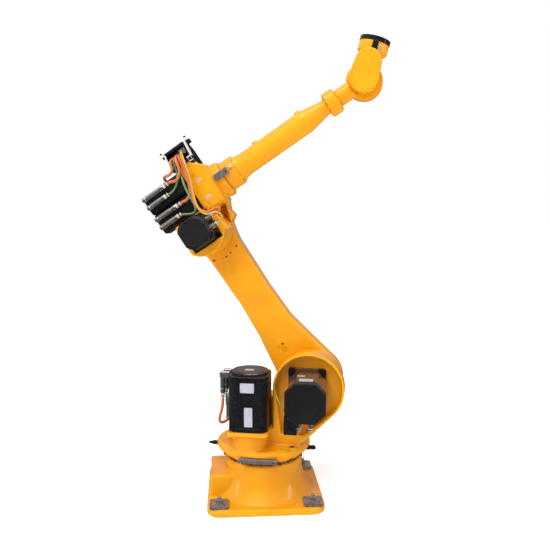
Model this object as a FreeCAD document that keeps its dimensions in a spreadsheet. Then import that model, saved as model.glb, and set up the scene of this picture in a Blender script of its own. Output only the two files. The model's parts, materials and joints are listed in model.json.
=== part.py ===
import FreeCAD, Part
import math
import os
import re
import Sketcher
from FreeCAD import Placement, Rotation, Vector

# A six-axis jointed robot arm in the pose in which it waits: base, rotating column, link arm, upper arm,
# forearm, hand and tool flange. Millimetres. The arm's frame stands on the floor with +Z along axis 1.
# Each moving link is drawn in a frame of its own and then placed at its rest angle:
#   column   origin on axis 1 at the floor, +X towards the reach of the arm, +Z up
#   link     origin on axis 2, +Z along the link arm towards axis 3
#   elbow    origin on axis 3, +X along the forearm, +Z square to it
#   forearm  as elbow, with its origin lifted onto axis 4
#   hand     origin on axis 5, +X along axis 6

SIZES = {
    "rest angles, degrees": {
        "a1_rest": -12.3, "link_lean": 34.84, "forearm_rise": 33.87, "hand_bend": 40.92,
    },
    "axes": {
        "a2_offset": 153, "a2_height": 370, "link_length": 600, "a4_rise": 103.5, "a5_reach": 675,
    },
    "clearances": {
        "joint_gap": 0.3,
    },
    "base": {
        "base_length": 366, "base_width": 370, "base_corner": 45, "base_plate": 22, "base_height": 134,
        "flare_foot": 166, "flare_top": 126, "flare_waist": 137, "flare_waist_height": 58, "flare_lip": 20,
        "slew_radius": 120, "slew_height": 7,
        "bolt_spacing": 290, "bolt_hole": 7, "foot_side": 60, "foot_corner": 12, "foot_thick": 9,
        "panel_box_reach": 176, "panel_box_half": 86, "panel_box_top": 95, "panel_thick": 6,
        "panel_edge": 8, "panel_lift": 4, "panel_recess": 18, "socket_radius": 12, "socket_reach": 12, "socket_pitch": 42,
    },
    "carousel": {
        "rim_radius": 152, "rim_foot": 122, "rim_swell": 140, "rim_low": 28, "rim_high": 38,
        "rim_shoulder": 141, "rim_thick": 45, "rim_ledge": 24,
        "stop_left": -54, "stop_right": 67, "stop_depth": 10, "stop_reach": 8, "stop_height": 12,
        "stop_level": 21, "peg_radius": 8, "peg_seat": 130, "peg_end": 172, "peg_far": 184, "peg_level": 17,
    },
    "column casting": {
        "drum_radius": 113, "drum_wall": 8, "drum_step": 9, "drum_lip": -18, "drum_near": -70, "drum_floor": -30, "drum_far": 56,
        "hub_radius": 84, "hub_face": 61.7, "wall_foot_x": 151, "wall_foot_z": 210,
        "back_left": -62, "back_knee": -96, "back_foot": -126, "back_right": 70, "back_near": -24,
        "back_top": 330, "saddle_lap": 20, "neck_radius": 55, "shelf_level": 237,
        "mouth_left": 66, "mouth_foot": 222,
    },
    "axis 1 motor": {
        "m1_drum_gap": 6, "m1_y": -88, "m1_half": 62, "m1_corner": 30, "m1_plate_thick": 12,
        "m1_plate_lip": 1, "m1_plate_gap": 4, "m1_plate_near": -156, "m1_plate_far": -25,
        "m1_body_top": 424, "m1_top": 434, "m1_top_radius": 59, "m1_top_edge": 4,
        "m1_plug_out": 23, "m1_plug_y": -104, "m1_plug_end": 345,
        "m1_sense_out": 19, "m1_sense_y": -71, "m1_sense_end": 352, "m1_plug_top": 430,
        "box_left": -122, "box_near": -20, "box_far": 46, "box_foot": 242, "box_top": 326,
        "box_corner": 6,
    },
    "axis 2 motor": {
        "m2_flange_half": 60, "m2_flange_shift": 6, "m2_flange_bevel": 12, "m2_flange_front": -46,
        "m2_half": 58, "m2_bevel": 24, "m2_body_front": -176, "m2_cap_half": 61, "m2_cap_bevel": 30,
        "m2_side": 2, "m2_drop": 6, "m2_cap_front": -205, "m2_plug_left": -23.5, "m2_plug_right": 12, "m2_plug_y": -120,
        "m2_plug_end": 254, "m2_box_left": -66, "m2_box_right": -26, "m2_box_near": -172,
        "m2_box_far": -132, "m2_box_foot": 257, "m2_box_corner": 4,
    },
    "plugs and leads": {
        "plug_radius": 8.2, "plug_seat_half": 9, "plug_seat_length": 20, "plug_offset": 20,
        "lead_radius": 4.6, "thin_lead_radius": 3.2, "earth_radius": 2.6,
    },
    "link arm": {
        "link_near": 62, "link_far": 130, "link_foot_radius": 102, "link_head_radius": 77,
        "link_shoulder": 59, "link_back": 68, "link_waist": 56, "link_small": 59, "link_neck": 62, "shoulder_level": 215,
        "waist_level": 340, "neck_drop": 75, "link_edge": 14, "link_front_edge": 14,
        "cover2_radius": 72, "cover3_radius": 56, "cover_thick": 8, "cover_edge": 3,
    },
    "elbow housing": {
        "elbow_radius": 78, "elbow_near": -75, "elbow_far": 56, "elbow_hub": 60, "elbow_flat": 54,
        "elbow_back": -62, "pocket_half": 50, "pocket_front": 56, "pocket_floor": -42, "collar_radius": 57, "collar_end": 155,
        "block_near": -62, "block_back": 50, "block_front_low": 120, "block_front_high": 130,
        "block_foot": 42, "block_knee": 165, "block_top_front": 88, "block_top": 201,
        "web_neck_x": 104, "web_neck_z": 16, "web_lug_x": 108, "web_lug_z": -8,
        "web_foot_x": 78, "web_foot_z": -28, "web_near": -5,
        "cheek_top": 61, "cheek_knee": 78, "cheek_foot": 82, "cheek_low": -40,
        "window_left": 70, "window_right": 106, "window_tip": 84, "window_tip_z": -32, "window_floor": 44,
        "cover_foot": 58, "cover_waist": 54, "cover_waist_z": 98, "cover_shoulder": 64,
        "cover_step": 139, "cover_bevel": 4, "block_lap": 12,
    },
    "axis 3 motor": {
        "m3_half": 46, "m3_bevel": 10, "m3_body_front": -124, "m3_cap_radius": 47,
        "m3_cap_front": -150, "m3_cap_edge": 6, "m3_plug_high": 16, "m3_plug_low": -12, "m3_plug_y": -108,
        "m3_plug_end": 75,
    },
    "wrist motors": {
        "wm_back": -101, "wm_half": 33.5, "wm_bevel": 7, "wm_near": -60, "wm_low": 91.5,
        "wm_high": 161, "wm_far_y": 33, "wm_far_z": 128, "wm_far_half": 22,
        "plug_start": -98, "plug_long_end": 1, "plug_short_end": -27,
        "plug_a": 180, "plug_b": 151, "plug_c": 106.5, "plug_d": 77.5,
    },
    "harness bracket": {
        "bracket_back": 30, "bracket_front": 112, "wing_near": -44, "wing_far": -38,
        "wing_back": 109.5, "wing_top": 118, "wing_front": 123, "wing_knee": 225, "bracket_near": -62, "bracket_far": 6,
        "bracket_thick": 12, "harness_back": 36, "harness_front": 108, "harness_near": -58,
        "harness_far": 0, "harness_top": 266, "harness_corner": 4,
    },
    "index plate": {
        "index_back": 131, "index_front": 181, "index_low": 99, "index_high": 122,
        "index_near": -65, "index_thick": 5, "index_seat_front": 148,
    },
    "forearm": {
        "flange_groove": 160, "groove_radius": 45, "flange_radius": 49, "flange_end": 200,
        "tube_root": 210, "tube_radius": 36.8, "taper_start": 460, "taper_end": 530,
        "tube_tip_radius": 24.6, "ring_start": 541, "ring_end": 579, "ring_radius": 40,
        "ring_back_edge": 3, "ring_front_edge": 6, "flange_step": 4,
        "fork_neck_radius": 27, "fork_clear": 50, "fork_disc_radius": 57, "fork_near": 10,
        "fork_far": 52,
    },
    "hand": {
        "slab_near": -62, "slab_far": -33, "slab_radius": 45.5, "slab_reach": 46,
        "slab_tip_radius": 40, "hand_hub_radius": 38, "hand_hub_face": 9.7, "web_half": 12,
        "cone_start": 61, "cone_radius": 21, "gear_start": 80, "gear_radius": 45.5, "gear_edge": 4,
        "gear_end": 112, "belt_thick": 5, "belt_inset": 2,
    },
    "tool flange": {
        "flange_face": 125, "tool_radius": 46.5, "tool_bore": 15.75, "tool_bore_depth": 6,
        "tool_hole": 3, "tool_pcd": 50,
    },
}

doc = FreeCAD.newDocument("RobotArm")
sheet = doc.addObject("Spreadsheet::Sheet", "Sizes")
NODES = {}


def fill_sheet():
    """Writes every driving size to the sheet, one row each, with its name as the alias."""
    row = 1
    for section, entries in SIZES.items():
        sheet.set("A%d" % row, section)
        row += 1
        for name, number in entries.items():
            sheet.set("A%d" % row, name)
            sheet.set("B%d" % row, str(number))
            sheet.setAlias("B%d" % row, name)
            row += 1
    doc.recompute()


ALIASES = {name for entries in SIZES.values() for name in entries}


def expression(text):
    """Turns a formula in size names into one that reads the sheet."""
    def cell(found):
        word = found.group()
        return "Sizes." + word if word in ALIASES else word
    return re.sub(r"[a-z][a-z_0-9]*", cell, str(text))


def value(text):
    """The number that a formula in size names gives."""
    return float(sheet.evalExpression(expression(text)))


def bind(thing, prop, text):
    """Ties a property of an object to a formula in size names."""
    thing.setExpression(prop, expression(text))


# ---------------------------------------------------------------- solids

ALONG = {
    "X": Rotation(Vector(0, 1, 0), 90),
    "Y": Rotation(Vector(1, 0, 0), -90),
    "Z": Rotation(),
}
ACROSS = {"X": "YZ_Plane", "Y": "XZ_Plane", "Z": "XY_Plane"}


def block(x, y, z):
    """A box over three spans, each (low, high)."""
    box = doc.addObject("Part::Box", "block")
    for side, axis, span in zip(("Length", "Width", "Height"), "xyz", (x, y, z)):
        bind(box, side, "(%s) - (%s)" % (span[1], span[0]))
        bind(box, ".Placement.Base." + axis, span[0])
    return box


def rod(along, radius, span, centre=("0", "0")):
    """A cylinder along X, Y or Z over a span, with its centre on the other two axes."""
    cylinder = doc.addObject("Part::Cylinder", "rod")
    cylinder.Placement = Placement(Vector(), ALONG[along])
    bind(cylinder, "Radius", radius)
    bind(cylinder, "Height", "(%s) - (%s)" % (span[1], span[0]))
    spots = list(centre)
    spots.insert("XYZ".index(along), span[0])
    for axis, spot in zip("xyz", spots):
        bind(cylinder, ".Placement.Base." + axis, spot)
    return cylinder


def fuse(*parts):
    """The union of several solids, or several solids kept as one sub-part where they stand apart."""
    union = doc.addObject("Part::MultiFuse", "union")
    union.Shapes = list(parts)
    return union


def cut(base, *tools):
    """A solid with others taken out of it; each tool has to take something out."""
    difference = doc.addObject("Part::Cut", "difference")
    difference.Base = base
    difference.Tool = tools[0] if len(tools) == 1 else fuse(*tools)
    doc.recompute()
    if base.Shape.Volume - difference.Shape.Volume < 1:
        raise RuntimeError("a cut in %s takes nothing away" % base.Label)
    return difference


def corner_point(corner):
    """The sketch position of an outline's corner."""
    return Vector(value(corner[0]), value(corner[1]), 0)


def pin(sketch, geometry, vertex, corner):
    """Holds a point of the sketch at a position given by two formulas."""
    for kind, text in zip(("DistanceX", "DistanceY"), corner):
        held = sketch.addConstraint(Sketcher.Constraint(kind, -1, 1, geometry, vertex, value(text)))
        bind(sketch, "Constraints[%d]" % held, text)


def draw_arc(sketch, start, bulge, end):
    """Adds an arc that passes through its bulge; returns its number with its first and last vertex."""
    edge = sketch.addGeometry(Part.Arc(start, corner_point(bulge), end), False)
    through = sketch.addGeometry(Part.Point(corner_point(bulge)), True)
    pin(sketch, through, 1, bulge)
    sketch.addConstraint(Sketcher.Constraint("PointOnObject", through, 1, edge))
    if (sketch.getPoint(edge, 1) - start).Length > 1e-4:
        return edge, 2, 1
    return edge, 1, 2


def draw(sketch, corners):
    """Draws a closed outline. A corner is (u, v), or (u, v, bulge u, bulge v) where an arc leads to it."""
    edges = []
    for index, corner in enumerate(corners):
        start = corner_point(corners[index - 1])
        end = corner_point(corner)
        if len(corner) == 4:
            edges.append(draw_arc(sketch, start, corner[2:], end))
        else:
            edge = sketch.addGeometry(Part.LineSegment(start, end), False)
            edges.append((edge, 1, 2))
    for index, corner in enumerate(corners):
        edge, _, last = edges[index]
        follower, first, _ = edges[(index + 1) % len(edges)]
        sketch.addConstraint(Sketcher.Constraint("Coincident", edge, last, follower, first))
        pin(sketch, edge, last, corner[:2])


def sketched(role, level, corners):
    """A body with one outline on one of its origin planes, moved along the plane's normal by a level."""
    body = doc.addObject("PartDesign::Body", "piece")
    plane = next(item for item in body.Origin.OriginFeatures if item.Role == role)
    sketch = body.newObject("Sketcher::SketchObject", "outline")
    sketch.AttachmentSupport = [(plane, "")]
    sketch.MapMode = "FlatFace"
    bind(sketch, ".AttachmentOffset.Base.z", level)
    draw(sketch, corners)
    return body, sketch


def slab(along, span, corners):
    """A padded outline across X, Y or Z: its corners are (y, z), (x, z) or (x, y)."""
    backwards = along == "Y"
    level = "-(%s)" % span[0] if backwards else span[0]
    body, sketch = sketched(ACROSS[along], level, corners)
    pad = body.newObject("PartDesign::Pad", "pad")
    pad.Profile = sketch
    pad.Reversed = backwards
    bind(pad, "Length", "(%s) - (%s)" % (span[1], span[0]))
    return body


def turned(along, profile):
    """A revolved profile about X, Y or Z: its corners are (distance along the axis, radius)."""
    upright = along == "Z"
    swapped = [c if along == "X" else flip(c) for c in profile]
    body, sketch = sketched("XZ_Plane" if upright else "XY_Plane", "0", swapped)
    turn = body.newObject("PartDesign::Revolution", "turn")
    turn.Profile = sketch
    turn.ReferenceAxis = (sketch, ["H_Axis" if along == "X" else "V_Axis"])
    turn.Angle = 360
    return body


def flip(corner):
    """An outline's corner with its two directions swapped."""
    if len(corner) == 2:
        return corner[1], corner[0]
    return corner[1], corner[0], corner[3], corner[2]


def rectangle(left, right, low, high):
    """The four corners of a rectangle."""
    return [(left, low), (right, low), (right, high), (left, high)]


def square(centre, half):
    """The four corners of a square about a centre."""
    spans = []
    for middle in centre:
        spans += ["%s - %s" % (middle, half), "%s + %s" % (middle, half)]
    return rectangle(*spans)


def lengthwise(along):
    """Picks the straight edges that run along an axis."""
    direction = {"X": Vector(1, 0, 0), "Y": Vector(0, 1, 0), "Z": Vector(0, 0, 1)}[along]

    def chosen(edge):
        if not isinstance(edge.Curve, Part.Line):
            return False
        return abs(edge.Curve.Direction.dot(direction)) > 0.999
    return chosen


def in_plane(along, level):
    """Picks the edges that lie in the plane square to an axis at a level."""
    index = "XYZ".index(along)
    height = value(level)

    def chosen(edge):
        box = edge.BoundBox
        low = (box.XMin, box.YMin, box.ZMin)[index]
        high = (box.XMax, box.YMax, box.ZMax)[index]
        return abs(low - height) < 1e-3 and abs(high - height) < 1e-3
    return chosen


def dress(body, kind, prop, amount, chosen):
    """Adds a fillet or a chamfer on the chosen edges of a body's last feature."""
    doc.recompute()
    last = body.Tip
    names = ["Edge%d" % (i + 1) for i, edge in enumerate(last.Shape.Edges) if chosen(edge)]
    dressing = body.newObject("PartDesign::" + kind, kind.lower())
    dressing.Base = (last, names)
    bind(dressing, prop, amount)
    return body


def soften(body, radius, chosen):
    """Rounds the chosen edges."""
    return dress(body, "Fillet", "Radius", radius, chosen)


def bevel(body, amount, chosen):
    """Chamfers the chosen edges."""
    return dress(body, "Chamfer", "Size", amount, chosen)


def place(name, thing, frame):
    """Names a sub-part and stands it in its link's frame."""
    thing.Label = name
    thing.Placement = frame
    NODES[name] = thing


# ---------------------------------------------------------------- frames of the links

def moved(x, y, z):
    """A shift, from formulas."""
    return Placement(Vector(value(x), value(y), value(z)), Rotation())


def pitched(angle):
    """A turn that tips +X up by an angle in degrees."""
    return Placement(Vector(), Rotation(Vector(0, 1, 0), -value(angle)))


def link_frames():
    """The placement of each link's frame at rest."""
    ground = Placement()
    column = Placement(Vector(), Rotation(Vector(0, 0, 1), value("a1_rest")))
    link = column.multiply(moved("a2_offset", "0", "a2_height")).multiply(pitched("link_lean"))
    head = link.multiply(moved("0", "0", "link_length"))
    elbow = head.multiply(pitched("forearm_rise - link_lean"))
    forearm = elbow.multiply(moved("0", "0", "a4_rise"))
    hand = forearm.multiply(moved("a5_reach", "0", "0")).multiply(pitched("hand_bend"))
    return {"ground": ground, "column": column, "link": link, "elbow": elbow,
            "forearm": forearm, "hand": hand}


# ---------------------------------------------------------------- leads

def lead_path(points):
    """A path of straight runs joined by tangent arcs, each as large as its two runs allow."""
    edges = []
    radii = []
    start = points[0]
    for before, corner, after in zip(points, points[1:], points[2:]):
        arriving = (corner - before).normalize()
        leaving = (after - corner).normalize()
        half_turn = arriving.getAngle(leaving) / 2
        setback = 0.45 * min((corner - before).Length, (after - corner).Length)
        radius = setback / math.tan(half_turn)
        into = corner - arriving * setback
        out = corner + leaving * setback
        inward = (leaving - arriving).normalize()
        middle = corner + inward * (radius / math.cos(half_turn) - radius)
        edges.append(Part.LineSegment(start, into).toShape())
        edges.append(Part.Arc(into, middle, out).toShape())
        radii.append(radius)
        start = out
    edges.append(Part.LineSegment(start, points[-1]).toShape())
    return Part.Wire(edges), radii


def lead(name, radius_text, route, frame):
    """A round lead along a route of points in its link's frame."""
    points = [Vector(*spot) for spot in route]
    path, radii = lead_path(points)
    radius = value(radius_text)
    ring = Part.Wire(Part.makeCircle(radius, points[0], points[1] - points[0]))
    solid = path.makePipeShell([ring], True, False)
    expected = math.pi * radius ** 2 * path.Length
    if abs(solid.Volume / expected - 1) > 0.01:
        raise RuntimeError("%s does not fill its route" % name)
    print("%s bends %s" % (name, " ".join("%.0f" % bend for bend in radii)))
    feature = doc.addObject("Part::Feature", "lead")
    feature.Shape = solid
    place(name, feature, frame)


# ---------------------------------------------------------------- base

def base_frame(frame):
    """The foot: a square plate, a flared turret and the box that takes the supply plugs."""
    half_x = "base_length / 2"
    half_y = "base_width / 2"
    plate = slab("Z", ("0", "base_plate"), rectangle("-" + half_x, half_x, "-" + half_y, half_y))
    soften(plate, "base_corner", lengthwise("Z"))
    turret = turned("Z", [
        ("0", "0"),
        ("0", "flare_foot"),
        ("base_plate", "flare_foot"),
        ("base_height - flare_lip", "flare_top", "flare_waist_height", "flare_waist"),
        ("base_height", "flare_top"),
        ("base_height", "0"),
    ])
    box = slab("Z", ("0", "panel_box_top"),
               rectangle("-panel_box_reach", "0", "-panel_box_half", "panel_box_half"))
    soften(box, "panel_edge", in_plane("Z", "panel_box_top"))
    holes = []
    for side_x in ("-", ""):
        for side_y in ("-", ""):
            spot = (side_x + "bolt_spacing / 2", side_y + "bolt_spacing / 2")
            holes.append(rod("Z", "bolt_hole", ("-1", "base_plate + 1"), spot))
    recess = block(("-panel_box_reach - 1", "-panel_box_reach + panel_recess"),
                   ("-panel_box_half + panel_edge", "panel_box_half - panel_edge"),
                   ("base_plate + panel_lift", "panel_box_top - panel_edge"))
    place("base_frame", cut(fuse(plate, turret, box), recess, *holes), frame)


def foot_plates(frame):
    """The bare plate under each holding-down bolt."""
    number = 0
    for side_x in ("-", ""):
        for side_y in ("-", ""):
            number += 1
            spot = (side_x + "bolt_spacing / 2", side_y + "bolt_spacing / 2")
            plate = slab("Z", ("base_plate", "base_plate + foot_thick"), square(spot, "foot_side / 2"))
            soften(plate, "foot_corner", lengthwise("Z"))
            hole = rod("Z", "bolt_hole", ("0", "base_height"), spot)
            place("foot_plate_%d" % number, cut(plate, hole), frame)


def connector_panel(frame):
    """The plate let into the back of the base, with three round sockets."""
    face = "-panel_box_reach + panel_recess - panel_thick"
    plate = block((face, "-panel_box_reach + panel_recess"), ("-panel_box_half + panel_edge", "panel_box_half - panel_edge"),
                  ("base_plate + panel_lift", "panel_box_top - panel_edge"))
    sockets = []
    level = "(base_plate + panel_box_top) / 2"
    for step in ("-socket_pitch", "0", "socket_pitch"):
        sockets.append(rod("X", "socket_radius", (face + " - socket_reach", face), (step, level)))
    place("connector_panel", fuse(plate, *sockets), frame)


def slew_ring(frame):
    """The steel ring on which the column turns."""
    ring = turned("Z", [
        ("base_height", "slew_radius / 2"),
        ("base_height", "slew_radius"),
        ("base_height + slew_height", "slew_radius"),
        ("base_height + slew_height", "slew_radius / 2"),
    ])
    place("slew_ring", ring, frame)


# ---------------------------------------------------------------- column

CAROUSEL = "(base_height + slew_height + joint_gap)"
M1_X = "(a2_offset - drum_radius - m1_drum_gap - m1_half)"
M1_FACE = "(%s - m1_half)" % M1_X


def carousel():
    """The turned rim at the column's foot."""
    return turned("Z", [
        (CAROUSEL, "0"),
        (CAROUSEL, "rim_foot"),
        (CAROUSEL + " + rim_low", "rim_radius", CAROUSEL + " + rim_low / 2", "rim_swell"),
        (CAROUSEL + " + rim_high", "rim_radius"),
        (CAROUSEL + " + rim_thick", "rim_shoulder"),
        (CAROUSEL + " + rim_thick", "0"),
    ])


def drum():
    """The round housing of axis 2, stepped behind its lip, with its front wall running down to the rim."""
    foot = CAROUSEL + " + rim_thick - 1"
    parts = []
    for span, radius, step in ((("drum_near", "drum_lip"), "drum_radius", "0"),
                               (("drum_lip - 1", "drum_far"), "(drum_radius - drum_step)", "drum_step / 2")):
        diagonal = radius + " * sqrt(0.5)"
        left = "a2_offset - " + radius
        parts.append(slab("Y", span, [
            (left, foot),
            ("rim_shoulder - rim_ledge - " + step, foot),
            ("wall_foot_x - " + step, "wall_foot_z"),
            ("a2_offset + " + diagonal, "a2_height - " + diagonal),
            (left, "a2_height", "a2_offset", "a2_height + " + radius),
        ]))
    return fuse(*parts)


def mouth():
    """The hollow of the drum run down to its foot, along the front wall."""
    inner = "(drum_radius - drum_wall)"
    return slab("Y", ("drum_near - 1", "drum_floor"), [
        ("mouth_left", "mouth_foot"),
        ("wall_foot_x - 1.4 * drum_wall", "mouth_foot"),
        ("a2_offset + %s * sqrt(0.5)" % inner, "a2_height - %s * sqrt(0.5)" % inner),
        ("a2_offset", "a2_height"),
        ("a2_offset - %s * cos(15)" % inner, "a2_height - %s * sin(15)" % inner),
    ])


def rotating_column(frame):
    """The column's casting: rim, drum, back block and the neck under the axis 1 motor."""
    foot = CAROUSEL + " + rim_thick - 1"
    axis = ("a2_offset", "a2_height")
    back = slab("Y", ("back_near", "drum_far"), [
        ("back_foot", foot),
        ("back_right", foot),
        ("back_right", "back_top"),
        ("back_left", "back_top"),
        ("back_left", "shelf_level"),
        ("back_knee", "shelf_level"),
    ])
    soften(back, "(drum_far - back_near) / 8", in_plane("Y", "back_near"))
    neck = rod("Z", "neck_radius", (foot, "shelf_level"), (M1_X, "m1_y"))
    saddle = block(("back_left", "a2_offset - drum_radius + 2"), ("drum_near", "back_near + saddle_lap"),
                   (foot, "shelf_level"))
    hub = rod("Y", "hub_radius", ("drum_far - 1", "hub_face"), axis)
    solid = fuse(carousel(), drum(), back, neck, saddle, hub)
    hollow = rod("Y", "drum_radius - drum_wall", ("drum_near - 1", "drum_floor"), axis)
    notch = block(("stop_left", "stop_right"), ("-rim_radius - 9", "-rim_radius + stop_depth"),
                  (CAROUSEL + " + stop_level - stop_height / 2",
                   CAROUSEL + " + stop_level + stop_height / 2"))
    peg_holes = [rod("X", "peg_radius", span, ("0", CAROUSEL + " + peg_level"))
                 for span in (("-rim_radius - 1", "-peg_seat"), ("peg_seat", "rim_radius + 1"))]
    place("rotating_column", cut(solid, hollow, mouth(), notch, *peg_holes), frame)


def stop_bar(frame):
    """The bare stop bar let into the front of the rim."""
    low = CAROUSEL + " + stop_level - stop_height / 2"
    high = CAROUSEL + " + stop_level + stop_height / 2"
    bar = slab("Z", (low, high), rectangle("stop_left", "stop_right", "-rim_radius - stop_reach",
                                           "-rim_radius + stop_depth"))
    place("stop_bar", bar, frame)


def stop_pegs(frame):
    """The two pegs let into the rim."""
    left = rod("X", "peg_radius", ("-peg_far", "-peg_seat"), ("0", CAROUSEL + " + peg_level"))
    right = rod("X", "peg_radius", ("peg_seat", "peg_end"), ("0", CAROUSEL + " + peg_level"))
    place("stop_pegs", fuse(left, right), frame)


def a1_motor(frame):
    """The upright motor of axis 1 on its shelf plate."""
    shelf = "shelf_level + m1_plate_thick"
    plate = slab("Z", ("shelf_level", shelf),
                 rectangle(M1_FACE + " - m1_plate_lip", "a2_offset - drum_radius - m1_plate_gap",
                           "m1_plate_near", "m1_plate_far"))
    soften(plate, "m1_plate_thick", lengthwise("Z"))
    place("a1_motor_plate", plate, frame)
    body = slab("Z", (shelf, "m1_body_top"), square((M1_X, "m1_y"), "m1_half"))
    soften(body, "m1_corner", lengthwise("Z"))
    place("a1_motor_body", body, frame)
    top = turned("Z", [
        ("m1_body_top", "0"),
        ("m1_body_top", "m1_top_radius"),
        ("m1_top - m1_top_edge", "m1_top_radius"),
        ("m1_top", "m1_top_radius - m1_top_edge"),
        ("m1_top", "0"),
    ])
    place("a1_motor_top", top, frame.multiply(moved(M1_X, "m1_y", "0")))


def a1_plugs(frame):
    """The two plugs on the side of the axis 1 motor, hanging from their seats."""
    for name, out, y, end in (("a1_power_plug", "m1_plug_out", "m1_plug_y", "m1_plug_end"),
                              ("a1_encoder_plug", "m1_sense_out", "m1_sense_y", "m1_sense_end")):
        x = "%s - %s" % (M1_FACE, out)
        seat = block((x, M1_FACE), (y + " - plug_radius", y + " + plug_radius"),
                     ("m1_plug_top - plug_seat_length", "m1_plug_top"))
        plug = rod("Z", "plug_radius", (end, "m1_plug_top"), (x, y))
        place(name, fuse(seat, plug), frame)


def junction_box(frame):
    """The bare box on the back of the column where the axis 1 leads end."""
    box = slab("X", ("box_left", "back_left"), rectangle("box_near", "box_far", "box_foot", "box_top"))
    soften(box, "box_corner", lengthwise("X"))
    place("junction_box", box, frame)


def a2_motor(frame):
    """The motor of axis 2 in the drum: flange, body, cap, plugs and terminal box."""
    axis = ("a2_offset + m2_side", "a2_height - m2_drop")
    flange = slab("Y", ("m2_flange_front", "drum_floor"),
                  square(("a2_offset - m2_flange_shift", "a2_height"), "m2_flange_half"))
    bevel(flange, "m2_flange_bevel", lengthwise("Y"))
    place("a2_motor_flange", flange, frame)
    body = slab("Y", ("m2_body_front", "m2_flange_front"), square(axis, "m2_half"))
    bevel(body, "m2_bevel", lengthwise("Y"))
    place("a2_motor_body", body, frame)
    cap = slab("Y", ("m2_cap_front", "m2_body_front"), square(axis, "m2_cap_half"))
    bevel(cap, "m2_cap_bevel", lengthwise("Y"))
    place("a2_motor_cap", cap, frame)
    plugs = [rod("Z", "plug_radius", ("m2_plug_end", "a2_height - m2_drop - m2_half"), (spot, "m2_plug_y"))
             for spot in ("a2_offset + m2_plug_left", "a2_offset + m2_plug_right")]
    place("a2_plugs", fuse(*plugs), frame)
    box = slab("Z", ("m2_box_foot", "a2_height - m2_drop - m2_half"),
               rectangle("a2_offset + m2_box_left", "a2_offset + m2_box_right", "m2_box_near",
                         "m2_box_far"))
    soften(box, "m2_box_corner", lengthwise("Z"))
    place("a2_terminal_box", box, frame)


# ---------------------------------------------------------------- link arm

def link_arm(frame):
    """The beam between axis 2 and axis 3: round ends and a slight waist."""
    foot_x = "link_foot_radius * cos(20)"
    foot_z = "link_foot_radius * sin(20)"
    head_x = "link_head_radius * cos(20)"
    head_z = "link_length - link_head_radius * sin(20)"
    beam = slab("Y", ("link_near", "link_far"), [
        (foot_x, foot_z, "0", "-link_foot_radius"),
        ("link_shoulder", "shoulder_level"),
        ("link_waist", "waist_level"),
        ("link_neck", "link_length - neck_drop"),
        (head_x, head_z),
        ("-" + head_x, head_z, "0", "link_length + link_head_radius"),
        ("-link_neck", "link_length - neck_drop"),
        ("-link_small", "waist_level"),
        ("-link_back", "shoulder_level"),
        ("-" + foot_x, foot_z),
    ])
    soften(beam, "link_edge", in_plane("Y", "link_far"))
    soften(beam, "link_front_edge", in_plane("Y", "link_near"))
    place("link_arm_casting", beam, frame)
    for name, radius, height in (("a2_gear_cover", "cover2_radius", "0"),
                                 ("a3_gear_cover", "cover3_radius", "link_length")):
        disc = turned("Y", [
            ("link_far", "0"),
            ("link_far", radius),
            ("link_far + cover_thick - cover_edge", radius),
            ("link_far + cover_thick", radius + " - cover_edge"),
            ("link_far + cover_thick", "0"),
        ])
        place(name, disc, frame.multiply(moved("0", "0", height)))


# ---------------------------------------------------------------- upper arm

def elbow_housing(frame):
    """The casting about axis 3 with the collar of axis 4 and the block that the wrist motors bolt to."""
    hub = rod("Y", "elbow_radius", ("elbow_near", "elbow_far"))
    seat = rod("Y", "elbow_hub", ("elbow_far - 1", "hub_face"))
    flats = [
        block(("-elbow_radius - 1", "block_back"), ("elbow_near - 1", "hub_face + 1"),
              ("elbow_flat", "elbow_radius + 1")),
        block(("-elbow_radius - 1", "elbow_back"), ("elbow_near - 1", "hub_face + 1"),
              ("-elbow_radius - 1", "elbow_radius + 1")),
        block(("block_back - 1", "elbow_radius + 1"), ("elbow_near - 1", "block_near"),
              ("block_foot", "elbow_radius + 1")),
    ]
    front = slab("Y", ("block_near", "elbow_far"), [
        ("block_back", "block_foot - block_lap"),
        ("block_front_low", "block_foot"),
        ("block_front_high", "block_knee"),
        ("block_top_front", "block_top"),
        ("block_back", "block_top"),
    ])
    web = slab("Y", ("web_near", "elbow_far"), [
        ("block_back", "block_foot"),
        ("block_front_low - 2", "block_foot + 1"),
        ("web_neck_x", "web_neck_z"),
        ("web_lug_x", "web_lug_z"),
        ("web_foot_x", "web_foot_z"),
        ("block_back", "web_foot_z"),
    ])
    cheek = slab("Y", ("block_near", "web_near + 1"), [
        ("block_back", "block_foot"),
        ("cheek_top", "block_foot"),
        ("cheek_knee", "0"),
        ("cheek_foot", "cheek_low"),
        ("block_back", "cheek_low"),
    ])
    collar = rod("X", "collar_radius", ("block_back + 10", "collar_end"), ("0", "a4_rise"))
    boss = block(("index_back", "index_seat_front"), ("index_near + index_thick", "-30"),
                 ("index_low", "index_high"))
    pocket = block(("-pocket_half", "pocket_front"), ("elbow_near - 1", "pocket_floor"),
                   ("-pocket_half", "pocket_half"))
    window = slab("Y", ("elbow_near - 1", "window_floor"), [
        ("window_left", "block_foot"),
        ("window_tip", "window_tip_z"),
        ("window_right", "block_foot"),
    ])
    trimmed = cut(hub, window, *flats)
    solid = fuse(trimmed, seat, front, cut(web, window), cheek, collar, boss)
    place("elbow_housing", cut(solid, pocket), frame)


def housing_cover(frame):
    """The cast cover on the near side of the block."""
    cover = slab("Y", ("elbow_near", "block_near"), [
        ("cover_foot", "block_foot"),
        ("block_front_low", "block_foot"),
        ("block_front_high", "block_knee"),
        ("block_top_front", "block_top"),
        ("cover_shoulder", "cover_step"),
        ("cover_waist", "cover_waist_z"),
    ])
    bevel(cover, "cover_bevel", in_plane("Y", "elbow_near"))
    place("housing_cover", cover, frame)


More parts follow.
